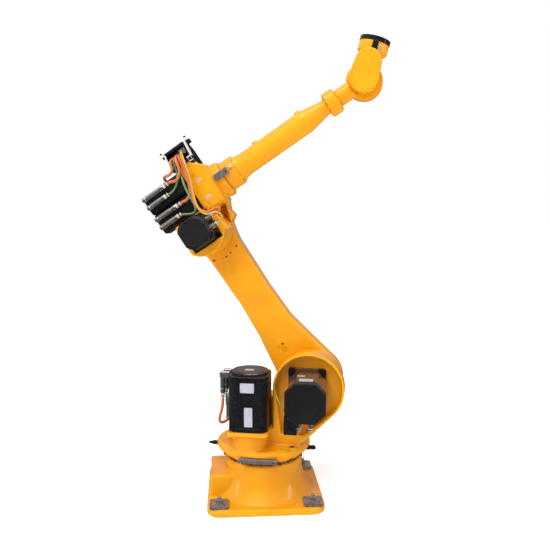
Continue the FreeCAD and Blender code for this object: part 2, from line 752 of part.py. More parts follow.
def a3_motor(frame):
    """The motor of axis 3 in the housing's pocket, with its plugs pointing forward."""
    body = slab("Y", ("m3_body_front", "pocket_floor"), square(("0", "0"), "m3_half"))
    bevel(body, "m3_bevel", lengthwise("Y"))
    place("a3_motor_body", body, frame)
    cap = turned("Y", [
        ("m3_cap_front", "0"),
        ("m3_cap_front", "m3_cap_radius - m3_cap_edge"),
        ("m3_cap_front + m3_cap_edge", "m3_cap_radius"),
        ("m3_body_front", "m3_cap_radius"),
        ("m3_body_front", "0"),
    ])
    place("a3_motor_cap", cap, frame)
    plugs = [rod("X", "plug_radius", ("m3_half", "m3_plug_end"), ("m3_plug_y", level))
             for level in ("m3_plug_high", "m3_plug_low")]
    place("a3_plugs", fuse(*plugs), frame)


def wrist_motors(frame):
    """The three motors behind the block that drive axes 4, 5 and 6."""
    middle = "wm_near + wm_half"
    for name, spot, half in (("wrist_motor_lower", (middle, "wm_low"), "wm_half"),
                             ("wrist_motor_upper", (middle, "wm_high"), "wm_half"),
                             ("wrist_motor_far", ("wm_far_y", "wm_far_z"), "wm_far_half")):
        body = slab("X", ("wm_back", "block_back"), square(spot, half))
        bevel(body, "wm_bevel", lengthwise("X"))
        place(name, body, frame)


def wrist_plugs(frame):
    """The angled plugs on the near side of the wrist motors, each on its seat."""
    middle = "wm_near - plug_offset"
    plugs = []
    for level, end in (("plug_a", "plug_long_end"), ("plug_b", "plug_short_end"),
                       ("plug_c", "plug_long_end"), ("plug_d", "plug_short_end")):
        seat = block(("plug_start", "plug_start + plug_seat_length"), (middle, "wm_near"),
                     (level + " - plug_seat_half", level + " + plug_seat_half"))
        plug = rod("X", "plug_radius", ("plug_start", end), (middle, level))
        plugs.append(fuse(seat, plug))
    place("wrist_plugs", fuse(*plugs), frame)


def harness_bracket(frame):
    """The bare bracket on the block and the black box that gathers the leads."""
    top = "block_top + bracket_thick"
    bracket = slab("Z", ("block_top", top),
                   rectangle("bracket_back", "bracket_front", "bracket_near", "bracket_far"))
    slope = "(block_top - block_knee) / (block_front_high - block_top_front)"
    wing = slab("Y", ("wing_near", "wing_far"), [
        ("wing_back", "block_top - (wing_back - block_top_front) * " + slope),
        ("wing_front", "block_top - (wing_front - block_top_front) * " + slope),
        ("wing_front", "wing_knee"),
        ("wing_top", "harness_top"),
        ("wing_back", "harness_top"),
    ])
    place("harness_frame", fuse(bracket, wing), frame)
    box = slab("Z", (top, "harness_top"),
               rectangle("harness_back", "harness_front", "harness_near", "harness_far"))
    soften(box, "harness_corner", lengthwise("Z"))
    place("harness_box", box, frame)


def index_plate(frame):
    """The bare plate that marks the turn of the forearm in the collar."""
    plate = slab("Y", ("index_near", "index_near + index_thick"),
                 rectangle("index_back", "index_front", "index_low", "index_high"))
    place("index_plate", plate, frame)


def column_leads(frame):
    """The axis 1 leads from its plugs to the junction box, and the earth lead of axis 2."""
    lead("a1_power_lead", "lead_radius", [
        (-113, -104, 345), (-113, -104, 327), (-117, -102, 304), (-125, -97, 280), (-129, -86, 260),
        (-123, -68, 250), (-110, -50, 254), (-105, -36, 262), (-105, -20, 262),
    ], frame)
    lead("a1_encoder_lead", "thin_lead_radius", [
        (-109, -71, 352), (-109, -71, 336), (-110, -67, 316), (-111, -54, 301), (-111, -36, 296),
        (-111, -20, 296),
    ], frame)
    lead("a2_earth_lead", "earth_radius", [
        (46, -70, 386), (46, -84, 386), (51, -104, 376), (61, -126, 360), (73, -142, 343), (84, -149, 329),
        (91, -150, 319), (91, -150, 306),
    ], frame)


def elbow_leads(frame):
    """The leads from the wrist motors and the axis 3 plugs up to the harness box."""
    lead("power_lead_upper", "lead_radius", [
        (1, -80, 180), (10, -80, 180), (23, -87, 172), (38, -92, 170), (54, -97, 179), (63, -99, 194),
        (66, -98, 210), (66, -90, 228), (66, -74, 239), (66, -58, 239),
    ], frame)
    lead("power_lead_lower", "lead_radius", [
        (1, -80, 106.5), (9, -80, 106.5), (24, -83, 103), (40, -85, 109), (52, -87, 124), (60, -89, 142),
        (66, -91, 160), (71, -92, 178), (75, -92, 202), (76, -85, 224), (76, -70, 238), (76, -58, 238),
    ], frame)
    lead("encoder_lead_upper", "thin_lead_radius", [
        (-27, -80, 151), (-17, -80, 151), (-2, -78, 150), (16, -74, 158), (32, -72, 172),
        (42, -72, 188), (48, -73, 206), (49, -72, 226), (49, -71, 252), (49, -58, 252),
    ], frame)
    lead("encoder_lead_lower", "thin_lead_radius", [
        (-27, -80, 77.5), (-17, -80, 77.5), (-2, -84, 68), (16, -88, 57), (31, -92, 58), (39, -96, 72),
        (42, -99, 92), (43, -100, 120), (48, -98, 148), (53, -89, 172), (56, -79, 194), (57, -74, 214),
        (57, -72, 234), (57, -71, 254), (57, -58, 254),
    ], frame)
    lead("a3_power_lead", "lead_radius", [
        (75, -108, 16), (86, -108, 16), (97, -109, 14), (102, -111, 23), (93, -113, 30),
        (77, -114, 29), (61, -114, 32), (50, -113, 46), (45, -112, 66), (49, -111, 88), (57, -110, 108),
        (66, -109, 130), (73, -108, 151), (80, -107, 176), (85, -104, 200), (88, -94, 222),
        (88, -74, 238), (88, -58, 238),
    ], frame)
    lead("a3_encoder_lead", "thin_lead_radius", [
        (75, -108, -12), (86, -108, -12), (94, -110, -6), (96, -116, 4), (92, -121, 14), (82, -123, 20),
        (70, -123, 22), (58, -123, 28), (50, -123, 41), (49, -122, 58), (52, -121, 78),
        (59, -120, 98), (67, -119, 118), (76, -118, 140), (83, -116, 164), (89, -113, 190),
        (95, -105, 214), (99, -88, 238), (99, -71, 254), (99, -58, 254),
    ], frame)
    lead("far_motor_lead", "lead_radius", [
        (40, -58, 232), (40, -70, 232), (42, -81, 222), (41, -83, 209), (32, -79, 201), (18, -72, 200),
        (4, -61, 206), (-7, -41, 210), (-15, -17, 210), (-19, 7, 204), (-14, 26, 188), (-9, 33, 168),
        (-9, 33, 150),
    ], frame)


# ---------------------------------------------------------------- forearm

def forearm(frame):
    """The flange in the collar, the long tube, the wrist ring and the one-armed fork."""
    start = "collar_end + joint_gap"
    flange = turned("X", [
        (start, "0"),
        (start, "groove_radius"),
        ("flange_groove", "groove_radius"),
        ("flange_groove", "flange_radius"),
        ("flange_end", "flange_radius"),
        ("flange_end", "0"),
    ])
    place("tube_flange", flange, frame)
    tube = turned("X", [
        ("flange_end", "0"),
        ("flange_end", "flange_radius - flange_step"),
        ("tube_root", "tube_radius"),
        ("taper_start", "tube_radius"),
        ("taper_end", "tube_tip_radius"),
        ("ring_start", "tube_tip_radius"),
        ("ring_start", "0"),
    ])
    place("forearm_tube", tube, frame)
    ring = turned("X", [
        ("ring_start", "0"),
        ("ring_start", "ring_radius - ring_back_edge"),
        ("ring_start + ring_back_edge", "ring_radius"),
        ("ring_end - ring_front_edge", "ring_radius"),
        ("ring_end", "ring_radius - ring_front_edge"),
        ("ring_end", "0"),
    ])
    place("wrist_ring", ring, frame)


def wrist_fork(frame):
    """The fork: a round neck, hollowed for the hand's hub, that carries a disc on the far side."""
    neck = rod("X", "fork_neck_radius", ("ring_end", "a5_reach"))
    clearing = rod("Y", "fork_clear", ("-fork_neck_radius - 1", "fork_near"), ("a5_reach", "0"))
    disc = rod("Y", "fork_disc_radius", ("fork_near", "fork_far"), ("a5_reach", "0"))
    place("wrist_fork", fuse(cut(neck, clearing), disc), frame)


# ---------------------------------------------------------------- hand and tool flange

def oval(inset):
    """The outline of the hand's belt housing, drawn in by an inset."""
    foot = "(slab_radius - %s)" % inset
    tip = "(slab_tip_radius - %s)" % inset
    return [
        ("0", foot, "-" + foot, "0"),
        ("slab_reach", tip),
        ("slab_reach", "-" + tip, "slab_reach + " + tip, "0"),
        ("0", "-" + foot),
    ]


def hand(frame):
    """The hand: hub on axis 5, belt housing on the near side and the gear head of axis 6."""
    side = slab("Y", ("slab_near", "slab_far + 1"), oval("0"))
    hub = rod("Y", "hand_hub_radius", ("slab_far", "hand_hub_face"))
    web = block(("0", "gear_start + 1"), ("slab_far", "hand_hub_face - 1"), ("-web_half", "web_half"))
    head = turned("X", [
        ("cone_start", "0"),
        ("cone_start", "cone_radius"),
        ("gear_start", "gear_radius - gear_edge"),
        ("gear_start + gear_edge", "gear_radius"),
        ("gear_end", "gear_radius"),
        ("gear_end", "0"),
    ])
    place("hand_body", fuse(side, hub, web, head), frame)
    cover = slab("Y", ("slab_near - belt_thick", "slab_near"), oval("belt_inset"))
    place("belt_cover", cover, frame)


def tool_flange(frame):
    """The mounting flange with its centring bore and four threaded holes."""
    back = "gear_end + joint_gap"
    disc = rod("X", "tool_radius", (back, "flange_face"))
    bore = rod("X", "tool_bore", ("flange_face - tool_bore_depth", "flange_face + 1"))
    corner = "tool_pcd / 2 * sqrt(0.5)"
    holes = [rod("X", "tool_hole", (back + " - 1", "flange_face + 1"), (sign_y + corner, sign_z + corner))
             for sign_y in ("-", "") for sign_z in ("-", "")]
    place("tool_flange", cut(disc, bore, *holes), frame)


# ---------------------------------------------------------------- the arm

def build():
    """Builds every sub-part at rest."""
    fill_sheet()
    frames = link_frames()
    for make in (base_frame, foot_plates, connector_panel, slew_ring):
        make(frames["ground"])
    for make in (rotating_column, stop_bar, stop_pegs, a1_motor, a1_plugs, junction_box, a2_motor,
                 column_leads):
        make(frames["column"])
    link_arm(frames["link"])
    for make in (elbow_housing, housing_cover, a3_motor, wrist_motors, wrist_plugs, harness_bracket,
                 index_plate, elbow_leads):
        make(frames["elbow"])
    for make in (forearm, wrist_fork):
        make(frames["forearm"])
    for make in (hand, tool_flange):
        make(frames["hand"])
    doc.recompute()


def check():
    """Stops if an object failed or a sub-part is empty or not valid."""
    for thing in doc.Objects:
        if "Invalid" in thing.State or "Error" in thing.State:
            raise RuntimeError("%s failed: %s" % (thing.Label, thing.State))
    for name, thing in NODES.items():
        if thing.Shape.isNull() or not thing.Shape.isValid() or not thing.Shape.Solids:
            raise RuntimeError("%s has no valid solid" % name)


def write():
    """Writes each sub-part to its own file."""
    os.makedirs("parts", exist_ok=True)
    for name, thing in NODES.items():
        thing.Shape.exportStep("parts/%s.step" % name)
        box = thing.Shape.BoundBox
        print("%-20s %d solid(s) %9.0f mm3  x %.0f..%.0f y %.0f..%.0f z %.0f..%.0f" % (
            name, len(thing.Shape.Solids), thing.Shape.Volume,
            box.XMin, box.XMax, box.YMin, box.YMax, box.ZMin, box.ZMax))


build()
check()
write()
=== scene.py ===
"""Looks of a six-axis jointed robot arm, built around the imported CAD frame.

Every sub-assembly is a class. Its sizes are in millimetres in the frame of the link that it rides on, and the
places of those links come from the frame's joints, so that each piece lies where the CAD says.
"""

import json
import logging
import math
from dataclasses import dataclass, field
from enum import Enum

import bmesh
import bpy
import numpy as np
from mathutils import Matrix, Vector
from mathutils.bvhtree import BVHTree


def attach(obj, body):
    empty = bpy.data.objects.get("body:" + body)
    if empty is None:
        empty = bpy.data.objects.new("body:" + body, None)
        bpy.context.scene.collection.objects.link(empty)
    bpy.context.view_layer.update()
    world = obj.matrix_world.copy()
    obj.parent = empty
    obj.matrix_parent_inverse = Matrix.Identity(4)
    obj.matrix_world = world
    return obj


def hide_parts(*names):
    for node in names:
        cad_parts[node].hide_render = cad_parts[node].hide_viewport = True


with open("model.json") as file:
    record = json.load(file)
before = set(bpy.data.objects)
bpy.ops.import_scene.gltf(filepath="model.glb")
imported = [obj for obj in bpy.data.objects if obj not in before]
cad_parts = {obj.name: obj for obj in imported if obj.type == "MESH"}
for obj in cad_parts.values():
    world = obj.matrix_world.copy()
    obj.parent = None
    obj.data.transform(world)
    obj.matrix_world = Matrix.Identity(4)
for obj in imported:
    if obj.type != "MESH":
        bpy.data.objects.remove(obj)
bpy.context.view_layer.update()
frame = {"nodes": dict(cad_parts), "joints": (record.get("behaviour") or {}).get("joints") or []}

LOG = logging.getLogger("robot_arm")
MM = 0.001
SAME_POINT = 0.02 * MM
SAME_CORNER = 0.002 * MM
Point = tuple[float, float]
Triple = tuple[float, float, float]


# ---------------------------------------------------------------- link frames

class Along(Enum):
    """An axis that an outline stands across; its outline lies on the other two axes, in order."""

    X = 0
    Y = 1
    Z = 2

    def point(self, level: float, across: Point) -> Vector:
        """Place a point of an outline at a level along the axis.

        Args:
            level: Distance along the axis.
            across: The outline's two coordinates.

        Returns:
            The point in the link's own frame.
        """
        spot = list(across)
        spot.insert(self.value, level)
        return Vector(spot)


class LinkFrame:
    """A link's own frame: origin and axes as in the CAD source, measured in millimetres."""

    def __init__(self, origin: Vector, x: Vector, y: Vector) -> None:
        """Build the frame.

        Args:
            origin: Its origin in metres.
            x: Its +X direction.
            y: Its +Y direction.
        """
        x, y = x.normalized(), y.normalized()
        z = x.cross(y)
        turn = Matrix((x, y, z)).transposed().to_4x4()
        self.matrix = Matrix.Translation(origin) @ turn @ Matrix.Scale(MM, 4)
        self.inverse = self.matrix.inverted()

    def box(self, node: str) -> tuple[Vector, Vector]:
        """Measure a CAD node in this frame.

        Args:
            node: Name of the node.

        Returns:
            Its lowest and highest corners, in millimetres.
        """
        mesh = frame["nodes"][node].data
        places = [self.inverse @ vertex.co for vertex in mesh.vertices]
        low = Vector([min(p[axis] for p in places) for axis in range(3)])
        high = Vector([max(p[axis] for p in places) for axis in range(3)])
        return low, high


def joint_facts(name: str) -> tuple[Vector, Vector]:
    """Give a joint's point and axis.

    Args:
        name: The joint's name in the record.

    Returns:
        Its point in metres and its axis at rest.
    """
    found = next(joint for joint in frame["joints"] if joint["name"] == name)
    return Vector(found["pos_m"]), Vector(found["axis"])


class Links:
    """The frames of the links at rest, worked out from the joints."""

    def __init__(self) -> None:
        """Read the joints and set up one frame for each link."""
        foot, up = joint_facts("a1")
        shoulder, across = joint_facts("a2")
        elbow, _ = joint_facts("a3")
        arm, reach = joint_facts("a4")
        wrist, _ = joint_facts("a5")
        _, tool = joint_facts("a6")
        ground = Vector((foot.x, foot.y, 0))
        self.ground = LinkFrame(ground, Vector((1, 0, 0)), Vector((0, 1, 0)))
        self.column = LinkFrame(ground, across.cross(up), across)
        self.link = LinkFrame(shoulder, across.cross(elbow - shoulder), across)
        self.elbow = LinkFrame(elbow, reach, across)
        self.forearm = LinkFrame(arm + reach * (elbow - arm).dot(reach), reach, across)
        self.hand = LinkFrame(wrist, tool, across)


# ---------------------------------------------------------------- finishes

@dataclass(frozen=True)
class Finish:
    """A coated or moulded surface: colour drift, fine grain, cast waviness and a clear coat."""

    name: str
    colour: Triple
    drift: Triple
    slot: str | None = None
    metallic: float = 0.0
    roughness: float = 0.4
    rough_spread: float = 0.08
    drift_scale: float = 9.0
    grain_scale: float = 700.0
    grain_depth: float = 0.03
    wave_scale: float = 45.0
    wave_depth: float = 0.0
    coat: float = 0.0
    coat_roughness: float = 0.1
    # Lighter colour on convex edges: partly wear, partly a painted highlight.
    wear_and_edge_highlight: Triple | None = None
    sheen: float = 0.0
    specular: float = 0.5
    glow: float = 0.0

    def stretch(self) -> Triple:
        """Give how much the grain is drawn out along each axis."""
        return 1.0, 1.0, 1.0

    def material(self) -> bpy.types.Material:
        """Make the material, or give the one already made.

        Returns:
            The node-based material.
        """
        made = bpy.data.materials.get(self.name)
        if made:
            return made
        made = bpy.data.materials.new(self.name)
        made.use_nodes = True
        tree = made.node_tree
        shader = tree.nodes["Principled BSDF"]
        shader.inputs["Metallic"].default_value = self.metallic
        shader.inputs["Coat Weight"].default_value = self.coat
        shader.inputs["Coat Roughness"].default_value = self.coat_roughness
        shader.inputs["Sheen Weight"].default_value = self.sheen
        shader.inputs["Specular IOR Level"].default_value = self.specular
        shader.inputs["Emission Strength"].default_value = self.glow
        place = tree.nodes.new("ShaderNodeTexCoord").outputs["Object"]
        colour = self.coloured(tree, place)
        tree.links.new(colour, shader.inputs["Base Color"])
        smudge = self.noise(tree, place, self.drift_scale * 5, 4.0)
        spread = tree.nodes.new("ShaderNodeMapRange")
        spread.inputs["From Min"].default_value = 0.3
        spread.inputs["From Max"].default_value = 0.7
        spread.inputs["To Min"].default_value = max(0.02, self.roughness - self.rough_spread)
        spread.inputs["To Max"].default_value = self.roughness + self.rough_spread
        tree.links.new(smudge, spread.inputs["Value"])
        tree.links.new(spread.outputs["Result"], shader.inputs["Roughness"])
        normal = None
        for scale, depth in ((self.wave_scale, self.wave_depth), (self.grain_scale, self.grain_depth)):
            if depth:
                normal = self.bump(tree, self.noise(tree, place, scale, 2.0), depth, normal)
        if normal:
            tree.links.new(normal, shader.inputs["Normal"])
            tree.links.new(normal, shader.inputs["Coat Normal"])
        return made

    def coloured(self, tree: bpy.types.NodeTree, place: bpy.types.NodeSocket) -> bpy.types.NodeSocket:
        """Lay the drift of colour and the lighter edges, which are partly wear and partly a painted
        highlight.

        Args:
            tree: The material's nodes.
            place: Object coordinates.

        Returns:
            The socket that holds the colour.
        """
        patches = self.noise(tree, place, self.drift_scale, 5.0)
        colour = self.mixed(tree, self.ramp(tree, patches, 0.35, 0.68), self.colour, self.drift)
        if not self.wear_and_edge_highlight:
            return colour
        # Painted highlight and wear: convex edges, broken up by patchy noise, take the lighter colour.
        edge = tree.nodes.new("ShaderNodeNewGeometry").outputs["Pointiness"]
        wear_and_sheen_patches = self.noise(tree, place, 160.0, 3.0)
        wear_and_highlight_mask = tree.nodes.new("ShaderNodeMath")
        wear_and_highlight_mask.operation = "MULTIPLY"
        tree.links.new(self.ramp(tree, edge, 0.515, 0.57), wear_and_highlight_mask.inputs[0])
        tree.links.new(self.ramp(tree, wear_and_sheen_patches, 0.42, 0.62), wear_and_highlight_mask.inputs[1])
        return self.mixed(tree, wear_and_highlight_mask.outputs["Value"], colour, self.wear_and_edge_highlight)

    def noise(self, tree: bpy.types.NodeTree, place: bpy.types.NodeSocket, scale: float,
              detail: float) -> bpy.types.NodeSocket:
        """Add a noise in object coordinates, drawn out where the finish asks for it.

        Args:
            tree: The material's nodes.
            place: Object coordinates.
            scale: How many features there are to a metre.
            detail: Octaves.

        Returns:
            The noise's value socket.
        """
        mapping = tree.nodes.new("ShaderNodeMapping")
        mapping.inputs["Scale"].default_value = self.stretch()
        noise = tree.nodes.new("ShaderNodeTexNoise")
        noise.inputs["Scale"].default_value = scale
        noise.inputs["Detail"].default_value = detail
        tree.links.new(place, mapping.inputs["Vector"])
        tree.links.new(mapping.outputs["Vector"], noise.inputs["Vector"])
        return noise.outputs["Fac"]

    @staticmethod
    def ramp(tree: bpy.types.NodeTree, source: bpy.types.NodeSocket, low: float,
             high: float) -> bpy.types.NodeSocket:
        """Stretch a value so that it runs from 0 at low to 1 at high.

        Args:
            tree: The material's nodes.
            source: The value.
            low: Where the result is 0.
            high: Where the result is 1.

        Returns:
            The stretched value.
        """
        node = tree.nodes.new("ShaderNodeMapRange")
        node.interpolation_type = "SMOOTHSTEP"
        node.inputs["From Min"].default_value = low
        node.inputs["From Max"].default_value = high
        tree.links.new(source, node.inputs["Value"])
        return node.outputs["Result"]

    @staticmethod
    def mixed(tree: bpy.types.NodeTree, share: bpy.types.NodeSocket, first: Triple | bpy.types.NodeSocket,
              second: Triple) -> bpy.types.NodeSocket:
        """Mix two colours by a share.

        Args:
            tree: The material's nodes.
            share: 0 for the first colour and 1 for the second.
            first: A colour, or the socket of one.
            second: A colour.

        Returns:
            The mixed colour.
        """
        mix = tree.nodes.new("ShaderNodeMix")
        mix.data_type = "RGBA"
        tree.links.new(share, mix.inputs["Factor"])
        if isinstance(first, tuple):
            mix.inputs[6].default_value = (*first, 1.0)
        else:
            tree.links.new(first, mix.inputs[6])
        mix.inputs[7].default_value = (*second, 1.0)
        return mix.outputs[2]

    @staticmethod
    def bump(tree: bpy.types.NodeTree, height: bpy.types.NodeSocket, depth: float,
             under: bpy.types.NodeSocket | None) -> bpy.types.NodeSocket:
        """Raise a surface by a height map.

        Args:
            tree: The material's nodes.
            height: The map.
            depth: Its depth in millimetres.
            under: The normal that it adds to.

        Returns:
            The new normal.
        """
        node = tree.nodes.new("ShaderNodeBump")
        node.inputs["Distance"].default_value = depth * MM
        tree.links.new(height, node.inputs["Height"])
        if under:
            tree.links.new(under, node.inputs["Normal"])
        return node.outputs["Normal"]


@dataclass(frozen=True)
class Brushed(Finish):
    """A machined metal whose grain is drawn out along one axis."""

    lie: Triple = (1.0, 1.0, 0.08)

    def stretch(self) -> Triple:
        """Give how much the grain is drawn out along each axis."""
        return self.lie


@dataclass(frozen=True)
class Striped(Finish):
    """A jacket with slanting stripes of a second colour."""

    pitch: float = 55.0

    def coloured(self, tree: bpy.types.NodeTree, place: bpy.types.NodeSocket) -> bpy.types.NodeSocket:
        """Lay the stripes.

        Args:
            tree: The material's nodes.
            place: Object coordinates.

        Returns:
            The socket that holds the colour.
        """
        wave = tree.nodes.new("ShaderNodeTexWave")
        wave.inputs["Scale"].default_value = self.pitch
        wave.bands_direction = "DIAGONAL"
        tree.links.new(place, wave.inputs["Vector"])
        return self.mixed(tree, self.ramp(tree, wave.outputs["Fac"], 0.45, 0.55), self.colour, self.drift)


class Finishes:
    """The finishes on the arm."""

    # The orange's lighter edge colour is partly wear, partly a painted highlight.
    orange = Finish("orange_gloss", (0.90, 0.385, 0.0035), (0.87, 0.335, 0.003), "orange_paint",
                    roughness=0.36, rough_spread=0.06, grain_scale=420.0, grain_depth=0.012,
                    wave_scale=30.0, wave_depth=0.05, coat=0.5, coat_roughness=0.09,
                    wear_and_edge_highlight=(0.93, 0.50, 0.03), specular=0.22)
    # The black's lighter edge colour is partly wear, partly a painted highlight.
    black = Finish("motor_black", (0.0042, 0.0042, 0.005), (0.0075, 0.007, 0.008), "black_paint",
                   roughness=0.38, rough_spread=0.09, grain_scale=900.0, grain_depth=0.015, coat=0.12,
                   coat_roughness=0.16, wear_and_edge_highlight=(0.03, 0.03, 0.03), specular=0.28)
    cap = Finish("cap_charcoal", (0.0085, 0.0085, 0.0098), (0.0125, 0.012, 0.0135), "black_paint",
                 roughness=0.5, rough_spread=0.08, grain_scale=1300.0, grain_depth=0.02, specular=0.3)
    brown = Finish("brown_varnish", (0.060, 0.020, 0.012), (0.022, 0.009, 0.007), "brown_varnish",
                   metallic=0.3, roughness=0.22, rough_spread=0.08, drift_scale=22.0, coat=0.5,
                   coat_roughness=0.06, specular=0.4)
    lid = Finish("lid_brown", (0.036, 0.012, 0.010), (0.016, 0.007, 0.007), "brown_varnish",
                 roughness=0.3, rough_spread=0.06, drift_scale=16.0, coat=0.15, coat_roughness=0.1,
                 specular=0.35)
    bare = Brushed("bare_steel", (0.30, 0.275, 0.265), (0.20, 0.18, 0.17), "bare_metal",
                   metallic=0.7, roughness=0.44, rough_spread=0.12, drift_scale=30.0, grain_scale=900.0,
                   grain_depth=0.012, wear_and_edge_highlight=(0.5, 0.48, 0.46))
    plug = Brushed("plug_nickel", (0.72, 0.71, 0.69), (0.60, 0.59, 0.58), "plug_metal", metallic=1.0,
                   roughness=0.26, rough_spread=0.05, grain_scale=900.0, grain_depth=0.0)
    bead = Finish("plug_bead", (0.72, 0.72, 0.70), (0.64, 0.64, 0.62), "plug_metal", roughness=0.35,
                  grain_depth=0.0)
    copper = Finish("ferrule_copper", (0.62, 0.27, 0.17), (0.50, 0.20, 0.12), "orange_lead",
                    metallic=0.5, roughness=0.35)
    salmon = Finish("lead_orange", (0.66, 0.20, 0.07), (0.56, 0.15, 0.045), "orange_lead",
                    roughness=0.42, grain_scale=1600.0, grain_depth=0.01, sheen=0.1, specular=0.3)
    green = Finish("lead_green", (0.16, 0.34, 0.13), (0.11, 0.25, 0.09), "green_lead",
                   roughness=0.42, grain_scale=1600.0, grain_depth=0.01, sheen=0.1, specular=0.3)
    amber = Finish("lead_amber", (0.70, 0.38, 0.05), (0.62, 0.30, 0.04), "orange_lead",
                   roughness=0.42, grain_scale=1600.0, grain_depth=0.01, sheen=0.1, specular=0.3)
    earth = Striped("lead_earth", (0.34, 0.28, 0.04), (0.16, 0.17, 0.035), "earth_lead", roughness=0.4)
    steel = Brushed("screw_steel", (0.42, 0.41, 0.40), (0.28, 0.27, 0.26), "bare_metal", metallic=1.0,
                    roughness=0.3, grain_scale=1500.0, grain_depth=0.0)
    dark_steel = Finish("screw_black", (0.022, 0.020, 0.020), (0.012, 0.011, 0.011), "black_paint",
                        metallic=0.6, roughness=0.38, specular=0.4)
    rust_plug = Finish("rust_plug", (0.20, 0.035, 0.007), (0.12, 0.022, 0.005), "brown_varnish",
                       roughness=0.4, coat=0.3, specular=0.3)
    label = Finish("label_bare", (0.50, 0.52, 0.60), (0.42, 0.44, 0.52), None, roughness=0.38,
                   rough_spread=0.05, drift_scale=60.0, grain_depth=0.004)
    cream = Finish("label_cream", (0.62, 0.54, 0.32), (0.54, 0.46, 0.26), None, roughness=0.4,
                   drift_scale=60.0, grain_depth=0.004)
    tool = Finish("tool_black", (0.006, 0.006, 0.007), (0.012, 0.011, 0.012), "black_paint",
                  metallic=0.3, roughness=0.3, rough_spread=0.1, coat=0.2, specular=0.3)
    # Painted shade: dark discs stand for the shade deep inside bores and screw sockets.
    shadow = Finish("bore_painted_shade", (0.03, 0.010, 0.003), (0.02, 0.007, 0.002), None, roughness=0.8,
                    specular=0.1)


# ---------------------------------------------------------------- outlines

def rounded(corners: list[Point], radius: float | list[float], steps: int = 5,
            is_open: bool = False) -> list[Point]:
    """Round the corners of an outline.

    Args:
        corners: The outline's corners.
        radius: The radius at each corner, or one for all of them.
        steps: How many runs make one rounded corner.
        is_open: Whether the outline is a profile whose two ends stay as they are.

    Returns:
        The outline with an arc at each corner.
    """
    count = len(corners)
    radii = radius if isinstance(radius, list) else [radius] * count
    result: list[Point] = []
    for index, corner in enumerate(corners):
        at_end = is_open and index in (0, count - 1)
        here = Vector(corner)
        before = Vector(corners[index - 1]) - here
        after = Vector(corners[(index + 1) % count]) - here
        if at_end or radii[index] <= 0 or before.length < 1e-6 or after.length < 1e-6:
            result.append(tuple(here))
            continue
        half = before.angle(after) / 2
        if half > math.radians(89.5):
            result.append(tuple(here))
            continue
        reach = min(radii[index] / math.tan(half), 0.49 * before.length, 0.49 * after.length)
        size = reach * math.tan(half)
        middle = here + (before.normalized() + after.normalized()).normalized() * (size / math.sin(half))
        start = here + before.normalized() * reach - middle
        sweep = start.angle_signed(here + after.normalized() * reach - middle)
        for step in range(steps + 1):
            angle = -sweep * step / steps
            turned = Vector((start.x * math.cos(angle) - start.y * math.sin(angle),
                             start.x * math.sin(angle) + start.y * math.cos(angle)))
            result.append(tuple(middle + turned))
    return result


def rectangle(low: Point, high: Point) -> list[Point]:
    """Give the four corners of a rectangle, counter-clockwise.

    Args:
        low: Its lower left corner.
        high: Its upper right corner.

    Returns:
        The corners.
    """
    return [low, (high[0], low[1]), high, (low[0], high[1])]


def circle(radius: float, centre: Point = (0.0, 0.0), count: int = 32, sides: int = 0,
           flutes: int = 0, flute_depth: float = 0.0) -> list[Point]:
    """Give a ring of points: round, many-sided or fluted.

    Args:
        radius: Its radius, or the radius to its corners.
        centre: Its centre.
        count: How many points it has.
        sides: How many flat sides it has; 0 for a round ring.
        flutes: How many flutes run round it.
        flute_depth: How deep they are.

    Returns:
        The points, counter-clockwise.
    """
    ring = []
    for step in range(count):
        angle = 2 * math.pi * step / count
        size = radius
        if sides:
            sector = 2 * math.pi / sides
            size = radius * math.cos(sector / 2) / math.cos(angle % sector - sector / 2)
        if flutes:
            size -= flute_depth * (0.5 - 0.5 * math.cos(flutes * angle))
        ring.append((centre[0] + size * math.cos(angle), centre[1] + size * math.sin(angle)))
    return ring


def resample(outline: list[Point], count: int) -> list[Point]:
    """Spread points evenly by angle about the origin over an outline round it.

    Args:
        outline: An outline that goes round the origin once.
        count: How many points to give.

    Returns:
        The points, counter-clockwise.
    """
    result = []
    for step in range(count):
        angle = 2 * math.pi * (step + 0.5) / count
        way = Vector((math.cos(angle), math.sin(angle)))
        best = 0.0
        for index, corner in enumerate(outline):
            start, end = Vector(outline[index - 1]), Vector(corner)
            side = end - start
            turn = way.x * side.y - way.y * side.x
            if abs(turn) < 1e-9:
                continue
            reach = (start.x * side.y - start.y * side.x) / turn
            share = (start.x * way.y - start.y * way.x) / turn
            if -1e-6 <= share <= 1 + 1e-6:
                best = max(best, reach)
        result.append((best * way.x, best * way.y))
    return result


def inset(outline: list[Point], amount: float) -> list[Point]:
    """Draw an outline in, each point along the bisector of its corner.

    Args:
        outline: A counter-clockwise outline.
        amount: How far its sides move in.

    Returns:
        The smaller outline, with as many points.
    """
    result = []
    for index, corner in enumerate(outline):
        here = Vector(corner)
        before = here - Vector(outline[index - 1])
        after = Vector(outline[(index + 1) % len(outline)]) - here
        if before.length < 1e-6:
            before = here - Vector(outline[index - 2])
        if after.length < 1e-6:
            after = Vector(outline[(index + 2) % len(outline)]) - here
        first = Vector((-before.y, before.x)).normalized()
        second = Vector((-after.y, after.x)).normalized()
        bisector = first + second
        result.append(tuple(here + bisector * (amount / max(0.3, 1 + first.dot(second)))))
    return result


# ---------------------------------------------------------------- meshes

